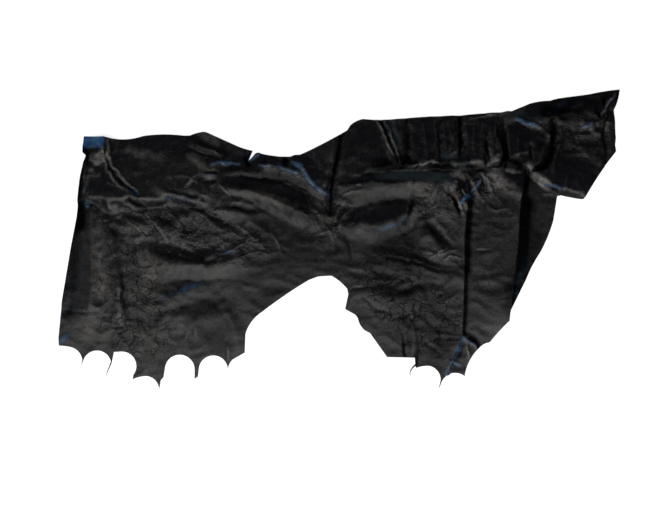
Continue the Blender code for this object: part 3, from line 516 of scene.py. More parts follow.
def sharpSlope(t):
    t = np.clip(t, 0, 1)
    return hide["creaseStraight"] * (1 - t) + (1 - hide["creaseStraight"]) * soft(t)


def nearestOn(points, run, values):
    # distance to the run, side of it (1 left, -1 right), and the value there
    best = np.full(len(points), np.inf)
    side = np.zeros(len(points))
    value = np.zeros(len(points))
    for (ax, ay), (bx, by), first, last in zip(run, run[1:], values, values[1:]):
        edge = np.array([bx - ax, by - ay], float)
        away = points - (ax, ay)
        share = np.clip(away @ edge / (edge @ edge), 0, 1)
        off = away - share[:, None] * edge
        far = np.hypot(off[:, 0], off[:, 1])
        across = (edge[0] * off[:, 1] - edge[1] * off[:, 0]) / (np.hypot(*edge) * np.maximum(far, 1e-9))
        closer = far < best
        best = np.where(closer, far, best)
        side = np.where(closer, across, side)
        value = np.where(closer, first + (last - first) * share, value)
    return best, side, value


def spread(points, row, shape):
    # value of the row's run at each point, fading out to its reach on either side
    _, *reaches, run = row
    left, right = reaches[0], reaches[-1]
    line = [(x, y) for x, y, _ in run]
    low = np.min(line, axis=0) - max(left, right)
    high = np.max(line, axis=0) + max(left, right)
    near = np.all((points > low) & (points < high), axis=1)  # only these can be reached
    total = np.zeros(len(points))
    distance, side, value = nearestOn(points[near], line, [value for _, _, value in run])
    reach = (left + right) / 2 + (left - right) / 2 * side
    total[near] = value * shape(distance / reach)
    return total


def wavePlace(name, x, y):
    along, across, layer, _ = waves[name]
    return Vector((x / along, y / across, layer))


def wander(points):
    # how far each point is led off its place, so that creases run unevenly
    slowReach, quickReach = waves["slow"][-1], waves["quick"][-1]
    away = np.empty((len(points), 2))
    for i, (x, y) in enumerate(points):
        slow = noise.noise_vector(wavePlace("slow", x, y))
        quick = noise.noise_vector(wavePlace("quick", x, y))
        away[i] = (slow.x * slowReach + quick.x * quickReach, slow.y * slowReach + quick.y * quickReach)
    return away


def crumpleAmount(points):
    amount = np.full(len(points), hide["leastCrumple"])
    for _, x, y, halfWidth, halfHeight, height in crumpleZones:
        amount += height * soft(np.hypot((points[:, 0] - x) / halfWidth, (points[:, 1] - y) / halfHeight))
    return amount


def crumple(points):
    # facets and small waves at their full height
    level = hide["waveLevel"]
    bendReach, broadHeight, facetHeight, sharpHeight, smallHeight = (
        waves[name][-1] for name in ("bend", "broad", "facet", "sharp", "small"))
    total = np.empty(len(points))
    for i, (x, y) in enumerate(points):
        bend = bendReach * noise.noise(wavePlace("bend", x, y))
        u, v = x + bend, y - bend
        broad = noise.noise(wavePlace("broad", u, v))
        facet, sharp, small = (
            abs(noise.noise(wavePlace(name, u, v))) for name in ("facet", "sharp", "small"))
        total[i] = (broadHeight * broad + facetHeight * (level - facet) + sharpHeight * (level - sharp)
                    + smallHeight * (small - level))
    return total


def relief(points):
    points = np.asarray(points, float).reshape(-1, 2)
    height = np.zeros(len(points))
    led = points + wander(points)
    for row in folds:
        height = np.maximum(height, spread(led, row, broadSlope))
    for row in creases:
        height += spread(led, row, soft)
    fine = np.zeros(len(points))
    for row in fineCreases:
        fine += spread(led, row, sharpSlope)
    uneven = np.array([noise.noise(wavePlace("uneven", x, y)) for x, y in points])
    share = hide["fineHeight"] + waves["uneven"][-1] * uneven
    return height + fine * share + crumpleAmount(points) * (crumple(points) + hide["crumpleLift"])


def tuckSection(turn, run):
    # (sideways, height) from the top ply down to the lower ply
    inner, pieces = hide["innerTurn"], hide["turnPieces"]
    outer = inner + hide["thickness"]
    drop = (inner + outer) * (1 - math.cos(turn)) + run * math.sin(turn)
    points = []
    for i in range(pieces + 1):
        angle = turn * i / pieces
        points.append((inner * math.sin(angle), drop - inner * (1 - math.cos(angle))))
    startX = points[-1][0] + run * math.cos(turn)
    startZ = points[-1][1] - run * math.sin(turn)
    for i in range(pieces + 1):
        angle = turn * (1 - i / pieces)
        points.append((startX + outer * (math.sin(turn) - math.sin(angle)),
                       startZ - outer * (math.cos(angle) - math.cos(turn))))
    return points


def tuckStations(rim, places, tuck):
    head, foot, rows, (footTurn, footRun) = tuck
    stops = [(*rim[places[head]], 0, 0.0), *rows, (*rim[places[foot]], footTurn, footRun)]
    dense = []
    for first, last in zip(stops, stops[1:]):
        count = max(1, round(math.dist(first[:2], last[:2]) / hide["tuckStep"]))
        dense += [[a + (b - a) * i / count for a, b in zip(first, last)] for i in range(count)]
    dense.append(list(stops[-1]))
    stations = []
    span = hide["tuckSpan"]
    for i, (x, y, turn, run) in enumerate(dense):
        before, after = dense[max(0, i - span)], dense[min(len(dense) - 1, i + span)]
        way = math.dist(before[:2], after[:2])
        across = (-(after[1] - before[1]) / way, (after[0] - before[0]) / way)
        stations.append((x, y, across, math.radians(turn), run))
    return stations


def cellOf(x, y, size):
    return int(x // size), int(y // size)


def around(cells, cell):
    # the points in a cell and in the eight round it
    return (point for i in (-1, 0, 1) for j in (-1, 0, 1)
            for point in cells.get((cell[0] + i, cell[1] + j), ()))


def scattered(candidates, taken, gap, size):
    # keeps each candidate that is far enough from all points kept before it
    for x, y in candidates:
        cell = cellOf(x, y, size)
        if all((x - px) ** 2 + (y - py) ** 2 >= gap * gap for px, py in around(taken, cell)):
            taken.setdefault(cell, []).append((x, y))
            yield (x, y)


def creaseCandidates():
    places = []
    for rows, offsets in ((fineCreases, (0, 1, -1)), (creases, (0, 1, -1)), (folds, (0,))):
        for _, left, right, crest in rows:
            for (ax, ay, _), (bx, by, _) in zip(crest, crest[1:]):
                length = math.hypot(bx - ax, by - ay)
                count = max(1, round(length / hide["creaseStep"]))
                normal = (-(by - ay) / length, (bx - ax) / length)
                for off in offsets:
                    away = left if off > 0 else -right if off < 0 else 0
                    places += [(ax + (bx - ax) * i / count + normal[0] * away,
                                ay + (by - ay) * i / count + normal[1] * away) for i in range(count + 1)]
    places = np.array(places)
    return places - wander(places)


def gridCandidates(low, high, step):
    rise = step * math.sqrt(3) / 2
    rows = int((high[1] - low[1]) / rise) + 1
    columns = int((high[0] - low[0]) / step) + 1
    return [(low[0] + (column + 0.5 * (row % 2)) * step, low[1] + row * rise)
            for row in range(rows) for column in range(columns)]


def inside(points, ring):
    crossed = np.zeros(len(points), bool)
    for (ax, ay), (bx, by) in zip(ring, np.roll(ring, -1, axis=0)):
        if ay == by:
            continue
        level = (ay > points[:, 1]) != (by > points[:, 1])
        crossed ^= level & (points[:, 0] < ax + (points[:, 1] - ay) * (bx - ax) / (by - ay))
    return crossed


def clearOf(points, ring, gap):
    # far enough from the ring, tested against cells of the ring's own points
    cells, size = {}, hide["rimCell"]
    closed = [*ring, ring[0]]
    for (ax, ay), (bx, by) in zip(closed, closed[1:]):
        pieces = max(1, int(math.hypot(bx - ax, by - ay)))
        for i in range(pieces):
            x, y = ax + (bx - ax) * i / pieces, ay + (by - ay) * i / pieces
            cells.setdefault(cellOf(x, y, size), []).append((x, y))
    return [(x, y) for x, y in points
            if all((x - px) ** 2 + (y - py) ** 2 > gap * gap for px, py in around(cells, cellOf(x, y, size)))]


def regionPoints(ring, candidates):
    taken, chosen = {}, []
    for places, gap in candidates:
        places = np.asarray(places, float)
        places = clearOf(places[inside(places, np.asarray(ring, float))], ring, hide["rimGap"])
        chosen += list(scattered(places, taken, gap, hide["gridStep"]))
    return chosen


def trianglesIn(ring, points):
    flat = [Vector(p) for p in [*ring, *points]]
    onlyInside, closest = 1, 1e-5
    result = delaunay_2d_cdt(flat, [], [list(range(len(ring)))], onlyInside, closest)
    places, _, faces, sources = result[:4]
    if len(places) != len(flat):
        raise RuntimeError("the rim crosses itself")
    number = [source[0] for source in sources]
    return [[number[corner] for corner in face] for face in faces]


def addTucks(mesh, rim, places):
    made = []
    for tuck in tucks:
        columns, run, lifts = [], [], []
        for x, y, across, turn, hidden in tuckStations(rim, places, tuck):
            section = tuckSection(turn, hidden) if turn > 0 else [(0, 0)]
            columns.append([mesh.verts.new((x + across[0] * side, y + across[1] * side, lift))
                            for side, lift in section])
            run.append((x, y))
            lifts.append(section[0][1])
        made.append((columns, run, lifts))
    return made


def tuckLift(points, tuck):
    if tuck is None or not len(points):
        return np.zeros(len(points))
    run, lifts = tuck[1:]
    distance, _, height = nearestOn(np.asarray(points, float), run, lifts)
    return height * soft(distance / hide["tuckReach"])


def panelRings(rim, places, made):
    def rimBetween(first, last, ply=None):
        # leaves out the points that a tuck's lower ply already passes at its foot
        span = (places[last] - places[first]) % len(rim)
        points = [rim[(places[first] + i) % len(rim)] for i in range(1, span)]
        return [p for p in points if ply is None or math.dist(p, ply.co[:2]) > hide["plyClear"]]

    (headOne, footOne), (headTwo, footTwo) = (tuck[:2] for tuck in tucks)
    topOne, topTwo = ([column[0] for column in columns] for columns, _, _ in made)
    lowOne, lowTwo = ([column[-1] for column in columns] for columns, _, _ in made)
    return [
        [*rimBetween(footOne, headOne), *topOne],
        [*rimBetween(headOne, headTwo), *topTwo, *rimBetween(footTwo, footOne, lowOne[-1]),
         *reversed(lowOne)],
        [*rimBetween(headTwo, footTwo, lowTwo[-1]), *reversed(lowTwo)],
    ]


def fillPanel(mesh, ring, tuck, candidates):
    def onTuck(corner):
        return isinstance(corner, bmesh.types.BMVert)

    flatRing = [tuple(corner.co[:2]) if onTuck(corner) else corner for corner in ring]
    inner = regionPoints(flatRing, candidates)
    loose = [corner for corner in ring if not onTuck(corner)]
    made = iter([mesh.verts.new((*place, lift)) for place, lift in zip(loose, tuckLift(loose, tuck))])
    corners = [corner if onTuck(corner) else next(made) for corner in ring]
    corners += [mesh.verts.new((*place, lift)) for place, lift in zip(inner, tuckLift(inner, tuck))]
    for face in trianglesIn(flatRing, inner):
        mesh.faces.new([corners[i] for i in face])


def fillTuck(mesh, columns):
    for upper, lower in zip(columns, columns[1:]):
        if len(upper) == len(lower) == 1:
            continue
        if len(upper) == 1:
            for first, second in zip(lower, lower[1:]):
                mesh.faces.new((upper[0], first, second))
            continue
        for i in range(len(upper) - 1):
            mesh.faces.new((upper[i], lower[i], lower[i + 1]))
            mesh.faces.new((upper[i], lower[i + 1], upper[i + 1]))


def buildUnderside():
    # the flesh side as a mesh, and how far the grain side dips below it at each point
    rim, places = outlinePoints(hide["rimStep"])
    low, high = np.min(rim, axis=0), np.max(rim, axis=0)
    candidates = [
        (creaseCandidates(), hide["creaseGap"]),
        (gridCandidates(low, high, hide["gridStep"]), hide["gridGap"]),
    ]
    mesh = bmesh.new()
    made = addTucks(mesh, rim, places)
    for ring, raisedBy in zip(panelRings(rim, places, made), (*made, None)):
        fillPanel(mesh, ring, raisedBy, candidates)
    for columns, _, _ in made:
        fillTuck(mesh, columns)
    height = relief([corner.co[:2] for corner in mesh.verts])
    middle = (low + high) / 2
    for corner, lift in zip(mesh.verts, height):
        corner.co.x = (corner.co.x - middle[0]) * mm
        corner.co.y = (corner.co.y - middle[1]) * mm
        corner.co.z = (corner.co.z + max(lift, 0)) * mm
    bmesh.ops.recalc_face_normals(mesh, faces=mesh.faces)
    if sum(face.normal.z * face.calc_area() for face in mesh.faces) < 0:
        bmesh.ops.reverse_faces(mesh, faces=mesh.faces)
    data = bpy.data.meshes.new("hideUnderside")
    mesh.to_mesh(data)
    mesh.free()
    return data, np.clip(height, -hide["deepest"], 0) * mm


def thickened(data, dips):
    # both sides and the cut edge; faces are grain 0, flesh 1, cut edge 2
    piece = bpy.data.objects.new("hide", data)
    bpy.context.scene.collection.objects.link(piece)
    shell = piece.modifiers.new("thickness", "SOLIDIFY")
    shell.thickness = hide["thickness"] * mm
    shell.offset = 1.0
    shell.use_even_offset = True
    graph = bpy.context.evaluated_depsgraph_get()
    whole = bpy.data.meshes.new_from_object(piece.evaluated_get(graph))
    count = len(data.vertices)
    place = np.empty(len(whole.vertices) * 3, np.float32)
    whole.vertices.foreach_get("co", place)
    place = place.reshape(-1, 3)
    before = np.empty(count * 3, np.float32)
    data.vertices.foreach_get("co", before)
    unmoved = 1e-6
    firstIsUnder = np.abs(place[:count] - before.reshape(-1, 3)).max() < unmoved
    grain = slice(count, 2 * count) if firstIsUnder else slice(0, count)
    place[grain, 2] += dips
    whole.vertices.foreach_set("co", place.ravel())
    isGrain = np.zeros(len(whole.vertices), bool)
    isGrain[grain] = True
    for polygon in whole.polygons:
        on = [isGrain[i] for i in polygon.vertices]
        polygon.material_index = 0 if all(on) else 2 if any(on) else 1
        polygon.use_smooth = True
    piece.modifiers.clear()
    piece.data = whole
    whole.set_sharp_from_angle(angle=math.radians(hide["sharpAngle"]))
    whole.update()
    return piece


# Marks on the surface: name, reach to the left and right (or one for both), and the
# run of the mark as (x, y, strength). Blue is a painted glint, shade is painted shade as in
# a deep, lightless crease, the pale patches are painted light, crackle is a web of fine lines,
# facets are faces with wear and a painted highlight, and slate is a smooth grey-blue patch.
# painted reflection: blue sheen glints on tilted folds and edges
paintedBlueSheen = [
    ("corner curl", 16, [(-417, 160, 1.5), (-396, 164, 1.5)]),
    ("corner curl deep", 6, [(-397, 170, 1.8), (-391, 163, 1.6)]),
    ("margin spot", 6, [(-416, 60, 0.5), (-414, 53, 0.5)]),
    ("groove tip", 4, [(-343, 80, 0.6), (-328, 72, 0.6)]),
    ("brow tint", 9, [(-305, 68, 0.25), (-270, 68, 0.3), (-240, 62, 0.2)]),
    ("trough line", 3, [(-197, -20, 0.6), (-172, -20, 0.6)]),
    ("streak ridge", 5, [(-211, 122, 0.5), (-190, 126, 0.9), (-166, 125, 0.5)]),
    ("white line", 2.5, [(-230, 105, 0.6), (-202, 105, 0.6)]),
    ("notch lip", 5, [(-147, 130, 0.8), (-135, 139, 0.8)]),
    ("neck streak one", 5, [(-128, 122, 0.65), (-104, 118, 0.5)]),
    ("neck streak two", 5, [(-98, 118, 0.6), (-71, 110, 0.7)]),
    ("neck streak three", 6,
     [(-76, 125, 0.7), (-61, 114, 0.8), (-45, 94, 0.8), (-28, 79, 0.65), (-15, 72, 0.3)]),
    ("lens streak", 8, [(60, 13, 0.2), (78, 20, 0.35), (98, 28, 0.38), (112, 36, 0.2)]),
    ("lower streak", 9, [(-292, -96, 0.2), (-262, -84, 0.42), (-235, -75, 0.4), (-220, -68, 0.15)]),
    ("left flank", 18, [(-447, -50, 0.08), (-455, -115, 0.12), (-459, -150, 0.2)]),
    ("flank navy", 26, [(320, -15, 0.06), (308, -55, 0.12), (295, -90, 0.12)]),
    ("arm rim", 5, [(323, 198, 0.3), (350, 214, 0.3), (377, 229, 0.2)]),
    ("tuck foot cross", 3, [(185, -203, 0.6), (202, -206, 0.6)]),
    ("left toe", 11, [(-460, -172, 0.8), (-448, -160, 0.5)]),
    ("crumple a", 5, [(203, 62, 1), (217, 74, 0.8)]),
    ("crumple b", 4, [(224, 82, 0.7), (234, 98, 0.7)]),
    ("arm streak", 6, [(296, 199, 0.9), (309, 196, 1), (323, 192, 1), (333, 187, 0.4)]),
    ("flap streak", 5, [(341, 89, 0.8), (366, 87, 0.9)]),
    ("flank glint", 6, [(404, 187, 0.5), (418, 194, 0.5)]),
    ("tuck foot left", 2.6, [(204, -160, 0.6), (194, -184, 0.7), (177, -224, 0.7)]),
    ("tuck foot right", 3.5, [(206, -161, 0.8), (232, -182, 0.7)]),
    ("tuck foot strip", 9, [(202, -170, 0.35), (197, -188, 0.25)]),
    ("tuck foot toe", 7, [(184, -208, 0.4), (181, -220, 0.5)]),
    ("tip line", 3, [(455, 240, 0.4), (440, 212, 0.4)]),
]
# painted shade: clefts, tuck edges, hollows and darker stretches of the hide
shadeMarks = [
    ("cleft", 6, 6, [(3, 174, 0.8), (-2, 140, 1), (-8, 115, 1), (-13, 82, 1), (-14, 42, 0.9)]),
    ("neck", 60, 45, [(-150, 0, 0.25), (-90, -5, 0.35), (-40, -15, 0.35), (0, -30, 0.25)]),
    ("left margin top", 24, 9, [(-424, 142, 1), (-427, 126, 1), (-430, 116, 0.9)]),
    ("left margin", 17, 9, [(-428, 122, 1), (-430, 100, 1), (-433, 76, 1)]),
    ("left margin low", 24, 9, [(-432, 68, 0.7), (-431, 50, 1), (-432, 24, 1)]),
    ("margin foot", 14, 7, [(-433, 26, 0.9), (-439, 0, 0.5)]),
    ("corner nick", 3, 3, [(-423, 149, 1), (-414, 142, 1)]),
    ("tuck one shade", 16, 1.5, [(216, 84, 0.6), (213, 61, 1), (209, 6, 1), (208, -50, 1)]),
    ("tuck one foot", 10, 1.5, [(208, -50, 1), (207, -110, 1), (205, -156, 0.9)]),
    ("tuck two top", 14, 1.5, [(309, 112, 1), (303, 69, 1)]),
    ("tuck two shade", 34, 1.5, [(302, 62, 1), (299, 44, 1), (297, -7, 1), (295, -39, 1)]),
    ("flank navy", 34, 34, [(318, 0, 0.5), (308, -45, 0.7), (298, -85, 0.7), (288, -112, 0.6)]),
    ("tuck two depth", 12, 1.5, [(303, 69, 1), (297, -7, 1), (291, -57, 1), (283, -110, 0.9)]),
    ("ruffle one shade", 7, 4, [(110, 198, 0.7), (113, 165, 0.8), (116, 138, 0.5)]),
    ("ruffle two shade", 4, 4, [(167, 200, 0.5), (167, 150, 0.5)]),
    ("ruffle three shade", 5, 5, [(200, 203, 1), (200, 168, 1), (199, 138, 0.8)]),
    ("ruffle four shade", 4, 4, [(245, 190, 0.5), (245, 140, 0.6)]),
    ("ruffle five shade", 7, 7, [(268, 198, 0.7), (274, 165, 1), (276, 138, 1), (268, 122, 0.8)]),
    ("shoulder shade", 9, 9, [(357, 200, 0.6), (354, 170, 1), (349, 140, 1), (341, 122, 1), (318, 114, 0.7)]),
    ("shoulder tick", 3, 3, [(316, 157, 0.9), (316, 135, 0.9)]),
    ("tip shade one", 3, 3, [(437, 234, 1), (437, 215, 1)]),
    ("tip shade two", 4, 4, [(424, 211, 1), (432, 198, 1)]),
    ("tip shade three", 4, 4, [(433, 181, 0.7), (440, 155, 0.9), (441, 128, 0.7)]),
    ("groove bed", 1.6, 1.6, [(-386, 160, 0.3), (-384, 132, 0.5), (-366, 103, 0.5), (-345, 84, 0.7)]),
    ("groove tail", 3, 3, [(-345, 84, 0.8), (-329, 71, 0.9)]),
    ("brow hollow", 8, 6, [(-346, 64, 0.6), (-334, 57, 0.7), (-324, 53, 0.6)]),
    ("brow groove", 9, 6, [(-280, 79, 0.2), (-247, 72, 0.3), (-222, 64, 0.35), (-194, 52, 0.2)]),
    ("cheek hollow left", 9, 9, [(-378, 25, 0.5), (-370, 13, 0.6), (-360, 1, 0.5)]),
    ("cheek hollow right", 9, 7, [(-300, 40, 0.5), (-288, 34, 0.55), (-277, 29, 0.4)]),
    ("brow shadow", 8, 8, [(-260, 60, 0.35), (-240, 56, 0.5), (-222, 47, 0.45)]),
    ("neck shadow", 8, 7, [(-184, 57, 0.5), (-162, 52, 0.7), (-141, 45, 0.5)]),
    ("trough shade", 11, 11, [(-310, -14, 0.2), (-270, -26, 0.4), (-230, -33, 0.45), (-192, -36, 0.3)]),
    ("low smear", 6, 6, [(-284, -121, 0.3), (-255, -121, 0.45), (-226, -119, 0.3)]),
    ("low line", 2.6, 2.6, [(-340, -109, 0.5), (-312, -106, 0.5), (-286, -104, 0.3)]),
    ("neck slope", 17, 14,
     [(-190, 116, 0.3), (-150, 106, 0.5), (-100, 102, 0.6), (-62, 86, 0.55), (-42, 60, 0.35)]),
    ("fan shade", 30, 26, [(-80, 52, 0.5), (-24, 36, 0.6), (14, 22, 0.45)]),
    ("ledge lit", 14, 12, [(0, 70, 0.3), (50, 78, 0.35), (105, 78, 0.2)]),
    ("belly", 40, 40, [(-130, 40, 0.3), (-90, 15, 0.35)]),
    ("top shade", 14, 12, [(-247, 160, 0.4), (-222, 148, 0.6), (-192, 138, 0.5)]),
    ("lens shade", 2.5, 2.5, [(-220, 111, 0.8), (-204, 110, 0.7)]),
    ("knot shade", 6, 6, [(-229, 99, 0.4), (-213, 96, 0.5), (-198, 90, 0.4)]),
    ("notch shade", 8, 8, [(-153, 134, 0.9), (-150, 124, 0.8)]),
    ("dark band", 12, 10, [(-190, 90, 0.35), (-160, 86, 0.5), (-127, 76, 0.4), (-85, 66, 0.2)]),
    ("thumb", 8, 8, [(-89, 131, 1), (-89, 125, 0.9)]),
    ("rib bed", 2.5, 2.5, [(69, 196, 0.9), (84, 160, 1), (98, 127, 0.9)]),
    ("lens", 13, 14, [(12, 66, 0.3), (50, 64, 0.5), (85, 66, 0.5), (108, 68, 0.4)]),
    ("lens fold shade", 5, 4, [(124, 80, 0.4), (119, 50, 0.9), (111, 30, 0.8)]),
    ("valley", 12, 9, [(142, 38, 0.3), (157, 14, 0.5), (176, -12, 0.3)]),
    ("crumple slit one", 4, 4, [(187, 68, 1), (194, 56, 1), (200, 44, 1)]),
    ("crumple slit two", 4, 4, [(205, 88, 0.7), (212, 76, 0.8)]),
    ("slit", 3.5, 3.5, [(104, -156, 0.5), (107, -176, 1), (109, -192, 1)]),
    ("lobe crease", 3, 3,
     [(127, -96, 0.4), (129, -150, 0.6), (131, -183, 0.7), (129, -198, 1), (127, -211, 1)]),
    ("tuck foot inner", 9, 9, [(204, -172, 0.6), (199, -188, 0.8), (188, -204, 0.5)]),
    ("smear", 8, 7, [(91, -88, 0.2), (113, -82, 0.4), (136, -76, 0.2)]),
    ("waist", 5, 5, [(9, 6, 0.4), (16, -11, 0.7), (19, -30, 0.4)]),
    ("flank streak", 8, 6, [(-357, -67, 0.3), (-353, -95, 0.5), (-352, -128, 0.5)]),
    ("facet side", 26, 2, [(-187, -118, 0.1), (-172, -150, 0.15), (-167, -180, 0.1)]),
    ("left flank", 22, 22, [(-438, 0, 0.5), (-446, -60, 0.55), (-452, -120, 0.45)]),
    ("bay shade", 24, 24, [(-132, -106, 0.3), (-100, -92, 0.3)]),
    ("tuck foot hollow", 6, 6, [(212, -156, 0.7), (224, -166, 0.9), (234, -176, 0.7)]),
    ("arm edge", 10, 10, [(330, 150, 0.4), (340, 175, 0.5), (352, 200, 0.3)]),
    ("ledge overhang left", 14, 12, [(40, 112, 0.5), (64, 117, 0.85), (108, 122, 0.9), (126, 122, 0.6)]),
    ("ruffle crest left", 16, 14, [(58, 124, 0.4), (80, 128, 0.7), (113, 130, 0.7)]),
    ("ruffle crest mid", 11, 11, [(138, 121, 0.4), (160, 119, 0.75), (184, 118, 0.75)]),
    ("arm crest", 24, 20, [(345, 208, 0.7), (372, 205, 0.85), (398, 202, 0.7), (425, 188, 0.5)]),
    ("ledge overhang right", 9, 11, [(158, 121, 0.8), (180, 124, 0.9)]),
    ("ruffle crest right", 8, 8, [(160, 126, 0.6), (200, 130, 0.7), (212, 131, 0.5)]),
    ("under ledge", 13, 10, [(-5, 84, 0.4), (35, 90, 0.6), (75, 92, 0.6), (105, 90, 0.4)]),
    ("ruffle foot", 14, 14, [(272, 126, 0.8), (290, 122, 0.9), (308, 116, 0.8)]),
    ("knuckle foot", 5, 5, [(212, 121, 0.7), (234, 115, 0.8), (250, 119, 0.8), (268, 121, 0.8)]),
    ("knuckle gap", 4, 4, [(239, 136, 0.7), (242, 126, 0.8), (243, 118, 0.7)]),
    ("crumple gap", 4, 4, [(196, 92, 0.8), (203, 74, 1), (207, 62, 0.9)]),
    ("ruffles", 60, 50, [(30, 160, 0.15), (120, 165, 0.06), (220, 168, 0.05), (300, 165, 0.15)]),
    ("arm", 80, 70, [(390, 160, 0.26), (400, 205, 0.32), (440, 230, 0.25)]),
    ("right lobe", 90, 80, [(90, -20, 0.48), (120, -90, 0.38), (150, -190, 0.36)]),
    ("low middle", 60, 60, [(-240, -90, 0.28), (-200, -150, 0.3)]),
]
# painted light: paler patches of colour where light falls brighter on the hide
paintedLightMarks = [
    ("corner patch", 8, 8, [(-392, 157, 0.4), (-390, 127, 0.3)]),
    ("margin glint", 6, 6, [(-414, 107, 0.6), (-398, 108, 0.5)]),
    ("left brow one", 11, 9, [(-350, 148, 0.4), (-326, 143, 0.7), (-306, 136, 0.6), (-286, 130, 0.35)]),
    ("left brow low", 7, 7, [(-296, 122, 0.2), (-280, 112, 0.3)]),
    ("brow cloud", 45, 40, [(-340, 115, 0.06), (-280, 112, 0.10), (-220, 100, 0.10)]),
    ("top knuckle", 11, 9, [(-230, 176, 0.6), (-216, 168, 0.8), (-202, 160, 0.6)]),
    ("shoulder swell", 15, 14, [(-242, 136, 0.9), (-230, 122, 0.9), (-215, 108, 0.6)]),
    ("groove foot", 6, 6, [(-305, 81, 0.4), (-288, 76, 0.4)]),
    ("lower left", 70, 70, [(-350, -20, 0.18), (-340, -90, 0.23), (-330, -170, 0.23)]),
    ("pale streak one", 20, 18, [(-400, 18, 0.3), (-394, -30, 0.8), (-388, -80, 0.9), (-380, -110, 0.5)]),
    ("pale streak two", 26, 20, [(-330, -10, 0.5), (-318, -40, 0.85), (-312, -68, 0.75), (-318, -100, 0.3)]),
    ("pale low left", 22, 20, [(-425, -140, 0.3), (-390, -160, 0.35)]),
    ("facet line", 2.6, 2.6, [(-189, -118, 0.6), (-176, -146, 0.7), (-168, -176, 0.5)]),
    ("crumple facet", 4, 4, [(188, 90, 0.7), (195, 68, 1), (202, 51, 1)]),
    ("right lobe", 60, 60, [(60, -90, 0.05), (110, -110, 0.10), (150, -150, 0.08)]),
    ("neck fan", 14, 14, [(-30, 60, 0.4), (-18, 35, 0.4)]),
    ("slope pale", 12, 12, [(-146, 78, 0.4), (-112, 70, 0.6), (-76, 56, 0.5)]),
    ("dotted", 18, 18, [(256, 112, 0.8), (264, 100, 0.9), (280, 84, 0.5)]),
    ("knuckle one", 8, 8, [(218, 132, 0.4), (230, 126, 0.5), (238, 122, 0.4)]),
    ("knuckle two", 7, 7, [(246, 138, 0.4), (256, 130, 0.5), (264, 128, 0.4)]),
    ("arm one", 9, 8, [(268, 193, 0.6), (280, 198, 0.6), (294, 200, 0.3)]),
    ("flap facet", 10, 10, [(314, 118, 1), (330, 106, 1.3), (344, 88, 1.1)]),
    ("flank one", 7, 7, [(404, 190, 1.2), (412, 191, 1.4), (418, 187, 1.2)]),
    ("flank two", 6, 6, [(416, 184, 0.5), (428, 175, 0.4)]),
    ("tip pale", 5, 5, [(384, 217, 0.4), (399, 222, 0.4)]),
    ("flank three", 6, 6, [(380, 139, 0.3), (398, 144, 0.4)]),
    ("flank four", 9, 9, [(400, 148, 0.3), (430, 126, 0.3)]),
    ("lens lip", 6, 6, [(60, 26, 0.3), (95, 34, 0.5), (120, 42, 0.6), (118, 20, 0.4)]),
    ("tuck foot strip", 5, 5, [(208, -166, 0.6), (212, -180, 0.7), (215, -196, 0.5)]),
    ("panel right of lens", 26, 22, [(140, 82, 0.2), (160, 66, 0.35), (168, 48, 0.3)]),
    ("ledge glint", 5, 4, [(128, 122, 0.5), (139, 128, 0.65), (156, 124, 0.5)]),
    ("ledge knuckles", 7, 7, [(184, 108, 0.7), (198, 110, 1), (206, 100, 0.7)]),
    ("panel edge one", 3, 3, [(210, 40, 0.35), (207, -60, 0.45), (203, -150, 0.35)]),
    ("panel edge two", 4, 3, [(296, 20, 0.3), (292, -50, 0.4), (282, -120, 0.35)]),
]
crackleMarks = [
    ("left lobe", 95, 95, [(-350, -50, 1.1), (-330, -150, 1.1)]),
    ("right lobe", 95, 95, [(90, -60, 1.5), (140, -130, 1.6)]),
    ("cheek", 50, 50, [(-250, 30, 0.5), (-180, 10, 0.4)]),
    ("panel", 40, 40, [(245, 20, 0.4), (245, -80, 0.5)]),
]
# painted highlights on shiny facets and knuckles, partly wear
paintedHighlightFacets = [
    ("flap facet", 9, 9, [(312, 119, 0.8), (326, 106, 1), (338, 92, 0.9)]),
    ("crumple peak", 9, 9, [(258, 118, 0.4), (263, 104, 0.6), (268, 92, 0.4)]),
    ("flank one", 6, 6, [(404, 190, 0.8), (412, 191, 1), (418, 187, 0.8)]),
    ("ledge knuckles", 5, 5, [(186, 108, 0.4), (198, 110, 0.7), (206, 100, 0.5)]),
    ("knuckle one", 4, 4, [(218, 134, 0.2), (228, 129, 0.35), (236, 124, 0.2)]),
    ("knuckle two", 4, 4, [(248, 138, 0.2), (256, 132, 0.35), (263, 129, 0.2)]),
    ("crumple facet", 3.5, 3.5, [(188, 90, 0.5), (195, 68, 0.9), (202, 51, 0.8)]),
    ("neck fan", 9, 9, [(-38, 62, 0.15), (-24, 38, 0.25), (-15, 20, 0.15)]),
    ("arm one", 7, 7, [(268, 193, 0.3), (280, 198, 0.4), (294, 200, 0.2)]),
    ("left brow", 6, 6, [(-352, 145, 0.15), (-338, 142, 0.25), (-324, 137, 0.2)]),
    ("tuck foot strip", 4, 4, [(209, -168, 0.3), (212, -180, 0.45), (215, -194, 0.3)]),
]
slateMarks = [
    ("ledge", 11, 11, [(66, 105, 0.6), (92, 108, 1), (130, 106, 1), (170, 103, 1), (184, 98, 0.8)]),
    ("ledge top", 10, 10, [(178, 138, 0.9), (196, 134, 1), (210, 126, 0.7)]),
    ("arm root", 10, 10, [(278, 206, 0.5), (300, 208, 0.4)]),
    ("green stripe", 7, 7, [(84, 196, 0.7), (91, 172, 0.8), (98, 150, 0.6)]),
    ("ruffle back", 8, 8, [(225, 108, 0.5), (244, 116, 0.5)]),
]


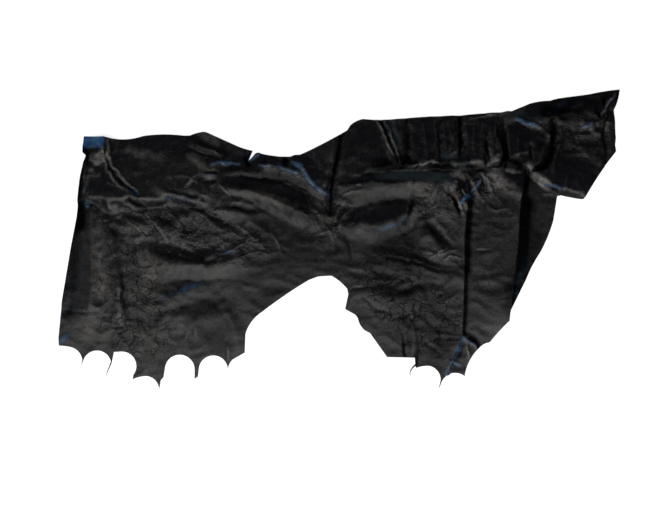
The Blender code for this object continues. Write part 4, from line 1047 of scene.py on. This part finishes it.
# How the marks are drawn. A higher crispness gives a mark a flat middle.
marking = {
    "blueCrisp": 1.1,
    "shadeCrisp": 1.5,
    "paintedLightCrisp": 1.3,
    "wearAndHighlightCrisp": 2,
    "crackleCrisp": 1.5,
    "slateCrisp": 2.2,
    "lineCrisp": 1,
    "widestLine": 4,        # a fine crease that reaches further has no line on it
    "bedReach": 2.8,        # painted shade lines in the beds of grooves
    "bedFull": 3.2,         # depth of a groove with a full line
    "ridgeReach": 2.4,      # lines of wear and painted highlight on the crests of ridges
    "ridgeFull": 1.9,
    "rumpleFull": 1.5,      # crumple that counts as full
    "crestFull": 0.35,      # height above the points beside it that counts as full
}


def markField(points, rows, crispness):
    # strongest mark at each point
    def shape(t):
        return np.clip(crispness * soft(t), 0, 1)

    total = np.zeros(len(points))
    for row in rows:
        total = np.maximum(total, spread(points, row, shape))
    return total


def lineMarks(sign, reach, full):
    # crests with wear and a painted highlight (sign 1) or beds with painted shade (sign -1) of the fine
    # creases as marks
    return [(name, reach, [(x, y, min(1, max(0, sign * height) / full)) for x, y, height in crest])
            for name, left, right, crest in fineCreases
            if max(left, right) <= marking["widestLine"] and sign * crest[len(crest) // 2][2] > 0]


def crestField(data):
    # how far each point stands above its neighbours, in millimetres
    ends = np.empty(len(data.edges) * 2, np.int32)
    data.edges.foreach_get("vertices", ends)
    ends = ends.reshape(-1, 2)
    place = np.empty(len(data.vertices) * 3, np.float32)
    data.vertices.foreach_get("co", place)
    z = place.reshape(-1, 3)[:, 2].astype(float)
    total, count = np.zeros(len(z)), np.zeros(len(z))
    for a, b in ((0, 1), (1, 0)):
        np.add.at(total, ends[:, a], z[ends[:, b]])
        np.add.at(count, ends[:, a], 1)
    return (z - total / np.maximum(count, 1)) / mm


def addFields(piece):
    data = piece.data
    place = np.empty(len(data.vertices) * 3, np.float32)
    data.vertices.foreach_get("co", place)
    plan = place.reshape(-1, 3)[:, :2].astype(float) / mm
    led = plan + wander(plan)
    beds = lineMarks(-1, marking["bedReach"], marking["bedFull"])
    ridges = lineMarks(1, marking["ridgeReach"], marking["ridgeFull"])
    fields = {
        "blue": markField(led, paintedBlueSheen, marking["blueCrisp"]),
        "shade": np.maximum(markField(plan, shadeMarks, marking["shadeCrisp"]),
                            markField(led, beds, marking["lineCrisp"])),
        "paintedLight": markField(led, paintedLightMarks, marking["paintedLightCrisp"]),
        "wearAndHighlight": np.maximum(markField(led, paintedHighlightFacets, marking["wearAndHighlightCrisp"]),
                           markField(led, ridges, marking["lineCrisp"])),
        "crackled": markField(led, crackleMarks, marking["crackleCrisp"]),
        "slate": markField(led, slateMarks, marking["slateCrisp"]),
        "rumple": np.clip(crumpleAmount(plan) / marking["rumpleFull"], 0, 1),
        "crest": np.clip(crestField(data) / marking["crestFull"], -1, 1),
    }
    for name, values in fields.items():
        attribute = data.attributes.new(name, "FLOAT", "POINT")
        attribute.data.foreach_set("value", values.astype(np.float32))


# Surface effects shared by the hide's three finishes. Sizes in the groups are millimetres.
def newGroup(name, inputs, outputs):
    group = bpy.data.node_groups.new(name, "ShaderNodeTree")
    for label, kind, value in inputs:
        socket = group.interface.new_socket(label, in_out="INPUT", socket_type=kind)
        if value is not None:
            socket.default_value = value
    for label, kind in outputs:
        group.interface.new_socket(label, in_out="OUTPUT", socket_type=kind)
    return group, group.nodes.new("NodeGroupInput"), group.nodes.new("NodeGroupOutput")


def addNode(tree, kind, links=None, **settings):
    node = tree.nodes.new(kind)
    for name, value in settings.items():
        setattr(node, name, value)
    for name, source in (links or {}).items():
        if isinstance(source, bpy.types.NodeSocket):
            tree.links.new(source, node.inputs[name])
        else:
            node.inputs[name].default_value = source
    return node


def mathNode(tree, operation, first, second=0.0, clamp=False):
    links = {0: first, 1: second}
    return addNode(tree, "ShaderNodeMath", links, operation=operation, use_clamp=clamp).outputs[0]


def times(tree, first, second, clamp=False):
    return mathNode(tree, "MULTIPLY", first, second, clamp)


def vectorNode(tree, operation, first, second):
    return addNode(tree, "ShaderNodeVectorMath", {0: first, 1: second}, operation=operation).outputs[0]


def scaled(tree, vector, factor):
    return addNode(tree, "ShaderNodeVectorMath", {0: vector, "Scale": factor}, operation="SCALE").outputs[0]


def ranged(tree, value, low, high, toLow=0.0, toHigh=1.0):
    links = {"Value": value, "From Min": low, "From Max": high, "To Min": toLow, "To Max": toHigh}
    return addNode(tree, "ShaderNodeMapRange", links, clamp=True).outputs[0]


def noiseNode(tree, vector, scale, detail, roughness=0.5):
    links = {"Vector": vector, "Scale": scale, "Detail": detail, "Roughness": roughness}
    return addNode(tree, "ShaderNodeTexNoise", links)


def fromEdge(tree, vector):
    # distance from the edge of the nearest cell
    links = {"Vector": vector, "Scale": 1.0}
    return addNode(tree, "ShaderNodeTexVoronoi", links, feature="DISTANCE_TO_EDGE").outputs["Distance"]


def patternGroup(name, inputs, outputs):
    # a group with the place and the pattern's size as its first inputs, and the place in sizes
    sockets = [("Vector", "NodeSocketVector", None), ("Size", "NodeSocketFloat", 1.0)]
    sockets += [(label, "NodeSocketFloat", 1.0) for label in inputs]
    group, entry, leave = newGroup(name, sockets, [(label, "NodeSocketFloat") for label in outputs])
    vector = scaled(group, entry.outputs["Vector"], mathNode(group, "DIVIDE", 1.0, entry.outputs["Size"]))
    return group, entry, leave, vector


def stretched(tree, vector, stretch):
    along = addNode(tree, "ShaderNodeCombineXYZ", {0: stretch, 1: 1.0, 2: 1.0}).outputs[0]
    return vectorNode(tree, "MULTIPLY", vector, along)


# Shapes of the patterns, in sizes of one cell or wave.
patterns = {
    "pebbleBend": 0.7,
    "pebbleTop": (0.0, 0.28),       # how far in from its edge a pebble reaches full height
    "poreEdge": (0.02, 0.10),
    "crackleBend": 1.4,
    "patchScale": 0.45,             # broad patches without crackle
    "patchRange": (0.30, 0.50),
    "gapScale": 1.9,                # small gaps in its lines
    "gapRange": (0.32, 0.45),
    "cloudRange": (0.3, 0.7),
    "wrinkleBend": 0.6,
    "wrinkleHalf": (0.0, 0.22),
}


def makePebbleGroup():
    # rounded grain with pores between: Height 0 to 1, Pores 0 to 1
    group, entry, leave, vector = patternGroup("pebbleGrain", ["Uneven"], ["Height", "Pores"])
    bend = noiseNode(group, vector, patterns["pebbleBend"], 2.0).outputs["Color"]
    moved = vectorNode(group, "ADD", vector, scaled(group, bend, entry.outputs["Uneven"]))
    edge = fromEdge(group, moved)
    group.links.new(ranged(group, edge, *patterns["pebbleTop"]), leave.inputs["Height"])
    group.links.new(ranged(group, edge, *patterns["poreEdge"], 1.0, 0.0), leave.inputs["Pores"])
    return group


def makeCrackleGroup():
    # thin bending lines that part the skin into uneven fields: Lines 0 to 1
    group, entry, leave, vector = patternGroup("crackleLines", ["Warp", "Width"], ["Lines"])
    bend = noiseNode(group, vector, patterns["crackleBend"], 4.0).outputs["Color"]
    centred = vectorNode(group, "SUBTRACT", bend, (0.5, 0.5, 0.5))
    shift = scaled(group, centred, times(group, entry.outputs["Warp"], 2.0))
    edge = fromEdge(group, vectorNode(group, "ADD", vector, shift))
    near = mathNode(group, "DIVIDE", edge, entry.outputs["Width"], clamp=True)
    lines = mathNode(group, "SUBTRACT", 1.0, near)
    patches = noiseNode(group, vector, patterns["patchScale"], 2.0).outputs["Fac"]
    gaps = noiseNode(group, vector, patterns["gapScale"], 1.0).outputs["Fac"]
    shown = times(group, ranged(group, patches, *patterns["patchRange"]),
                  ranged(group, gaps, *patterns["gapRange"]))
    group.links.new(times(group, lines, shown), leave.inputs["Lines"])
    return group


def makeBlotchGroup():
    # cloudy change, 0 to 1 around a middle of 0.5
    group, entry, leave, vector = patternGroup("blotch", ["Stretch"], ["Cloud"])
    pulled = stretched(group, vector, entry.outputs["Stretch"])
    cloud = noiseNode(group, pulled, 1.0, 5.0, 0.6).outputs["Fac"]
    group.links.new(ranged(group, cloud, *patterns["cloudRange"]), leave.inputs["Cloud"])
    return group


def makeWrinkleGroup():
    # sharp little ridges with soft hollows between, Height 0 to 1
    group, entry, leave, vector = patternGroup("wrinkles", ["Stretch"], ["Height"])
    bend = noiseNode(group, vector, patterns["wrinkleBend"], 2.0).outputs["Color"]
    pulled = stretched(group, vectorNode(group, "ADD", vector, bend), entry.outputs["Stretch"])
    wave = noiseNode(group, pulled, 1.0, 2.0, 0.55).outputs["Fac"]
    folded = mathNode(group, "ABSOLUTE", mathNode(group, "SUBTRACT", wave, 0.5))
    group.links.new(ranged(group, folded, *patterns["wrinkleHalf"], 1.0, 0.0), leave.inputs["Height"])
    return group


pebbleGroup = makePebbleGroup()
crackleGroup = makeCrackleGroup()
blotchGroup = makeBlotchGroup()
wrinkleGroup = makeWrinkleGroup()


def startMaterial(name):
    material = bpy.data.materials.new(name)
    material.use_nodes = True
    tree = material.node_tree
    shader = tree.nodes["Principled BSDF"]
    place = addNode(tree, "ShaderNodeTexCoord").outputs["Object"]
    return material, tree, shader, scaled(tree, place, 1 / mm)


def groupNode(tree, group, vector, **values):
    node = addNode(tree, "ShaderNodeGroup", node_tree=group)
    tree.links.new(vector, node.inputs["Vector"])
    for name, value in values.items():
        node.inputs[name].default_value = value
    return node


def blotchAt(tree, place, size, stretch=1.0):
    return groupNode(tree, blotchGroup, place, Size=size, Stretch=stretch).outputs["Cloud"]


def wrinkleAt(tree, place, size, stretch=1.0):
    return groupNode(tree, wrinkleGroup, place, Size=size, Stretch=stretch).outputs["Height"]


def crackleAt(tree, place, size, warp, width):
    return groupNode(tree, crackleGroup, place, Size=size, Warp=warp, Width=width).outputs["Lines"]


def mixColour(tree, share, first, second):
    return addNode(tree, "ShaderNodeMix", {0: share, 6: first, 7: second}, data_type="RGBA").outputs[2]


def field(tree, name):
    return addNode(tree, "ShaderNodeAttribute", attribute_name=name).outputs["Fac"]


def bumpInto(tree, shader, height):
    # the height is in millimetres
    bump = addNode(tree, "ShaderNodeBump", {"Height": height, "Strength": 1.0, "Distance": mm})
    tree.links.new(bump.outputs[0], shader.inputs["Normal"])


grainFinish = {
    "black": (0.0034, 0.0035, 0.0052, 1),
    "warmBlack": (0.0075, 0.0072, 0.0078, 1),
    # painted light: colour of the paler patches and of the ridge highlights
    "paintedLight": (0.105, 0.098, 0.090, 1),
    # wear with a painted highlight: colour of bright facets and crest lines
    "wearAndHighlight": (0.240, 0.232, 0.222, 1),
    # painted reflection: colour of the blue sheen glints
    "blue": (0.030, 0.120, 0.27, 1),
    "slate": (0.010, 0.019, 0.024, 1),
    # painted shade colour, also used for the crackle lines
    "shadow": (0.0012, 0.0016, 0.0018, 1),
    "cloud": 70.0,
    "streak": 14.0,
    "streakStretch": 1.8,
    "patchy": (0.1, 0.9, 0.35, 1.0),    # range of the streaks, and the share they leave of a mark
    "fullShade": 0.88,
    "crestRange": (0.25, 1.0),          # ridges and grooves that show in colour and in lost sheen: painted highlight on ridges, painted shade in grooves
    "ridgeHighlightShare": 0.2,
    "blueStreaks": 0.8,
    "blueRange": (0.45, 1.6),
    "blueFull": 0.5,
    "roughness": 0.25,
    "streakRoughness": (-0.05, 0.08),
    "poreRoughness": 0.10,
    "grooveRoughness": 0.12,
    "slateRoughness": 0.60,
    "slateSmooth": 0.1,
    "dullest": 0.95,
    # painted shade in the grooves
    "grooveShade": 0.6,
    "pebble": 1.3,
    "pebbleUneven": 0.6,
    "pebbleHeight": 0.035,
    "crackle": 15.0,
    "crackleWarp": 0.2,
    "crackleWidth": 0.08,
    "crackleDepth": 0.16,
    "fineCrackle": 5.0,
    "fineWarp": 0.5,
    "fineWidth": 0.12,
    "fineDepth": 0.05,
    "webShare": 0.6,                    # of the fine crackle beside the wide one
    "webDark": 0.85,
    "webDull": 0.9,
    "wrinkle": 9.0,
    "wrinkleStretch": 0.8,
    "wrinkleHeight": 0.55,
    "pucker": 3.6,
    "puckerHeight": 0.30,
    "rumpleRange": (0.15, 0.7, 0.14, 1.0),  # crumple, and the share of the wrinkles there
}


def makeGrain():
    look = grainFinish
    material, tree, shader, place = startMaterial("blackGrain")
    cloud = blotchAt(tree, place, look["cloud"])
    streaks = blotchAt(tree, place, look["streak"], look["streakStretch"])
    pebble = groupNode(tree, pebbleGroup, place, Size=look["pebble"], Uneven=look["pebbleUneven"])
    crackled = field(tree, "crackled")
    wide = crackleAt(tree, place, look["crackle"], look["crackleWarp"], look["crackleWidth"])
    wide = times(tree, wide, crackled, clamp=True)
    fine = crackleAt(tree, place, look["fineCrackle"], look["fineWarp"], look["fineWidth"])
    web = times(tree, times(tree, fine, crackled, clamp=True), look["webShare"])
    web = mathNode(tree, "MAXIMUM", wide, web)
    shade, paintedLight, wearAndHighlight, blue, slate = (field(tree, name) for name in ("shade", "paintedLight", "wearAndHighlight", "blue", "slate"))
    shade = ranged(tree, shade, 0.0, look["fullShade"])
    crest, rumple = field(tree, "crest"), field(tree, "rumple")
    ridge = ranged(tree, crest, *look["crestRange"])
    groove = ranged(tree, crest, *(-end for end in look["crestRange"]))

    patchy = ranged(tree, streaks, *look["patchy"])
    glint = mathNode(tree, "ADD", blue, times(tree, streaks, look["blueStreaks"]))
    glint = times(tree, ranged(tree, glint, *look["blueRange"]), ranged(tree, blue, 0.0, look["blueFull"]))
    colour = mixColour(tree, cloud, look["black"], look["warmBlack"])
    layers = [
        # painted light on the paler patches and on the ridges
        (times(tree, paintedLight, patchy), "paintedLight"),
        (times(tree, ridge, look["ridgeHighlightShare"]), "paintedLight"),
        # wear and painted highlights on facets and crests
        (times(tree, wearAndHighlight, patchy), "wearAndHighlight"),
        (slate, "slate"),
        (times(tree, web, look["webDark"]), "shadow"),
        # painted shade
        (shade, "shadow"),
        # painted blue sheen
        (glint, "blue"),
    ]
    for share, tone in layers:
        colour = mixColour(tree, share, colour, look[tone])
    tree.links.new(colour, shader.inputs["Base Color"])

    rough = ranged(tree, streaks, 0.0, 1.0, *look["streakRoughness"])
    rough = mathNode(tree, "ADD", rough, look["roughness"])
    rough = mathNode(tree, "ADD", rough, times(tree, pebble.outputs["Pores"], look["poreRoughness"]))
    rough = mathNode(tree, "ADD", rough, times(tree, groove, look["grooveRoughness"]), clamp=True)
    tree.links.new(ranged(tree, slate, 0.0, 1.0, rough, look["slateRoughness"]), shader.inputs["Roughness"])

    # painted shade: a metal as dark as the shadow colour throws no light back, as a deep crease doesn't
    paintedShadeAndCrackle = mathNode(tree, "MAXIMUM", shade, times(tree, groove, look["grooveShade"]))
    paintedShadeAndCrackle = mathNode(tree, "MAXIMUM", paintedShadeAndCrackle, times(tree, web, look["webDull"]))
    tree.links.new(times(tree, paintedShadeAndCrackle, look["dullest"]), shader.inputs["Metallic"])

    height = times(tree, pebble.outputs["Height"], look["pebbleHeight"])
    height = mathNode(tree, "SUBTRACT", height, times(tree, wide, look["crackleDepth"]))
    height = mathNode(tree, "SUBTRACT", height, times(tree, fine, look["fineDepth"]))
    wrinkle = wrinkleAt(tree, place, look["wrinkle"], look["wrinkleStretch"])
    pucker = wrinkleAt(tree, place, look["pucker"])
    folded = times(tree, wrinkle, look["wrinkleHeight"])
    folded = mathNode(tree, "ADD", folded, times(tree, pucker, look["puckerHeight"]))
    smooth = ranged(tree, slate, 0.0, 1.0, 1.0, look["slateSmooth"])
    share = times(tree, ranged(tree, rumple, *look["rumpleRange"]), smooth)
    bumpInto(tree, shader, mathNode(tree, "ADD", height, times(tree, folded, share)))
    return material


fleshFinish = {
    "light": (0.075, 0.098, 0.125, 1),
    "dark": (0.030, 0.042, 0.058, 1),
    "cloud": 35.0,
    "nap": 0.5,
    "napStretch": 1.8,
    "napLight": 0.35,
    "napHeight": 0.10,
    "napRoughness": (0.98, 0.92),
    "crackle": 14.0,
    "crackleWarp": 0.9,
    "crackleWidth": 0.05,
    "crackleDark": 0.4,
    "sheen": 0.25,
    "sheenRoughness": 0.6,
}


def makeFlesh():
    look = fleshFinish
    material, tree, shader, place = startMaterial("napFlesh")
    cloud = blotchAt(tree, place, look["cloud"])
    nap = blotchAt(tree, place, look["nap"], look["napStretch"])
    crackle = crackleAt(tree, place, look["crackle"], look["crackleWarp"], look["crackleWidth"])
    colour = mixColour(tree, cloud, look["dark"], look["light"])
    colour = mixColour(tree, times(tree, nap, look["napLight"]), colour, look["light"])
    colour = mixColour(tree, times(tree, crackle, look["crackleDark"]), colour, look["dark"])
    tree.links.new(colour, shader.inputs["Base Color"])
    tree.links.new(ranged(tree, nap, 0.0, 1.0, *look["napRoughness"]), shader.inputs["Roughness"])
    bumpInto(tree, shader, times(tree, nap, look["napHeight"]))
    shader.inputs["Sheen Weight"].default_value = look["sheen"]
    shader.inputs["Sheen Roughness"].default_value = look["sheenRoughness"]
    return material


edgeFinish = {
    "dark": (0.010, 0.011, 0.014, 1),
    "fibre": (0.045, 0.055, 0.070, 1),
    "cloud": 18.0,
    "fibreSize": 0.35,
    "fibreShare": (0.15, 0.8),
    "fibreRoughness": (0.80, 0.95),
    "fibreHeight": 0.12,
}


def makeEdge():
    look = edgeFinish
    material, tree, shader, place = startMaterial("cutEdge")
    fibre = blotchAt(tree, place, look["fibreSize"])
    cloud = blotchAt(tree, place, look["cloud"])
    share = times(tree, fibre, ranged(tree, cloud, 0.0, 1.0, *look["fibreShare"]))
    tree.links.new(mixColour(tree, share, look["dark"], look["fibre"]), shader.inputs["Base Color"])
    tree.links.new(ranged(tree, fibre, 0.0, 1.0, *look["fibreRoughness"]), shader.inputs["Roughness"])
    bumpInto(tree, shader, times(tree, fibre, look["fibreHeight"]))
    return material


hidePiece = thickened(*buildUnderside())
hidePiece.name = "leatherHide"
addFields(hidePiece)
for finish in (makeGrain(), makeFlesh(), makeEdge()):
    hidePiece.data.materials.append(finish)
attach(hidePiece, "root")
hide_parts("leather_hide")
print("hide built with", sum(len(p.vertices) - 2 for p in hidePiece.data.polygons), "triangles")

# Floor, light and camera. Sizes in metres.
studio = {
    "floorSize": 9.0,
    "floorDrop": 0.0004,           # keeps the floor clear of the hide's flat parts
    "floorColour": (0.88, 0.88, 0.88, 1),
    "floorRoughness": 0.9,
    "floorGlow": 0.75,
    "skyColour": (0.72, 0.80, 1.0, 1),
    "skyBehind": 0.85,             # brightness as the camera sees it
    "skyLight": 0.05,              # and as it lights the hide
    "sensorWidth": 36.0,
    "cameraHeight": 2.0,
    "frameWidth": 1.0973,          # what the frame's width covers on the floor
    "aim": (-0.0124, -0.0229),     # middle of the frame, from the middle of the hide
}
lights = [
    # name, place, aimed at, width, height, brightness of its face, colour
    ("warmCeiling", (-0.15, -1.84, 2.2), (-0.15, -1.84, 0.0), 2.6, 2.96, 2.1, (1.0, 0.975, 0.94)),
    ("leftWindow", (-2.3, 0.3, 1.5), (0.0, 0.0, 0.0), 0.6, 0.6, 4.0, (0.85, 0.92, 1.0)),
]


def addFloor():
    bpy.ops.mesh.primitive_plane_add(size=studio["floorSize"], location=(0, 0, -studio["floorDrop"]))
    floor = bpy.context.object
    floor.name = "floor"
    material = bpy.data.materials.new("paleFloor")
    material.use_nodes = True
    shader = material.node_tree.nodes["Principled BSDF"]
    shader.inputs["Base Color"].default_value = studio["floorColour"]
    shader.inputs["Roughness"].default_value = studio["floorRoughness"]
    shader.inputs["Emission Color"].default_value = (1, 1, 1, 1)
    shader.inputs["Emission Strength"].default_value = studio["floorGlow"]
    floor.data.materials.append(material)
    return floor


def addLights():
    for name, place, target, width, height, face, colour in lights:
        data = bpy.data.lights.new(name, "AREA")
        data.shape = "RECTANGLE"
        data.size, data.size_y = width, height
        data.energy = face * math.pi * width * height
        data.color = colour
        lamp = bpy.data.objects.new(name, data)
        lamp.location = place
        way = Vector(target) - Vector(place)
        lamp.rotation_euler = way.to_track_quat("-Z", "Y").to_euler()
        lamp.visible_camera = False
        bpy.context.scene.collection.objects.link(lamp)


def addWorld():
    world = bpy.data.worlds.new("room")
    bpy.context.scene.world = world
    world.use_nodes = True
    tree = world.node_tree
    sky = tree.nodes["Background"]
    path = addNode(tree, "ShaderNodeLightPath")
    shown = ranged(tree, path.outputs["Is Camera Ray"], 0.0, 1.0, studio["skyLight"], studio["skyBehind"])
    sky.inputs["Color"].default_value = studio["skyColour"]
    tree.links.new(shown, sky.inputs["Strength"])


def addCamera():
    data = bpy.data.cameras.new("overhead")
    data.sensor_width = studio["sensorWidth"]
    data.lens = data.sensor_width * studio["cameraHeight"] / studio["frameWidth"]
    camera = bpy.data.objects.new("overhead", data)
    camera.location = (*studio["aim"], studio["cameraHeight"])
    bpy.context.scene.collection.objects.link(camera)
    bpy.context.scene.camera = camera


floor = addFloor()
addLights()
addWorld()
addCamera()
bpy.context.scene.view_settings.view_transform = "Standard"
print("studio set")
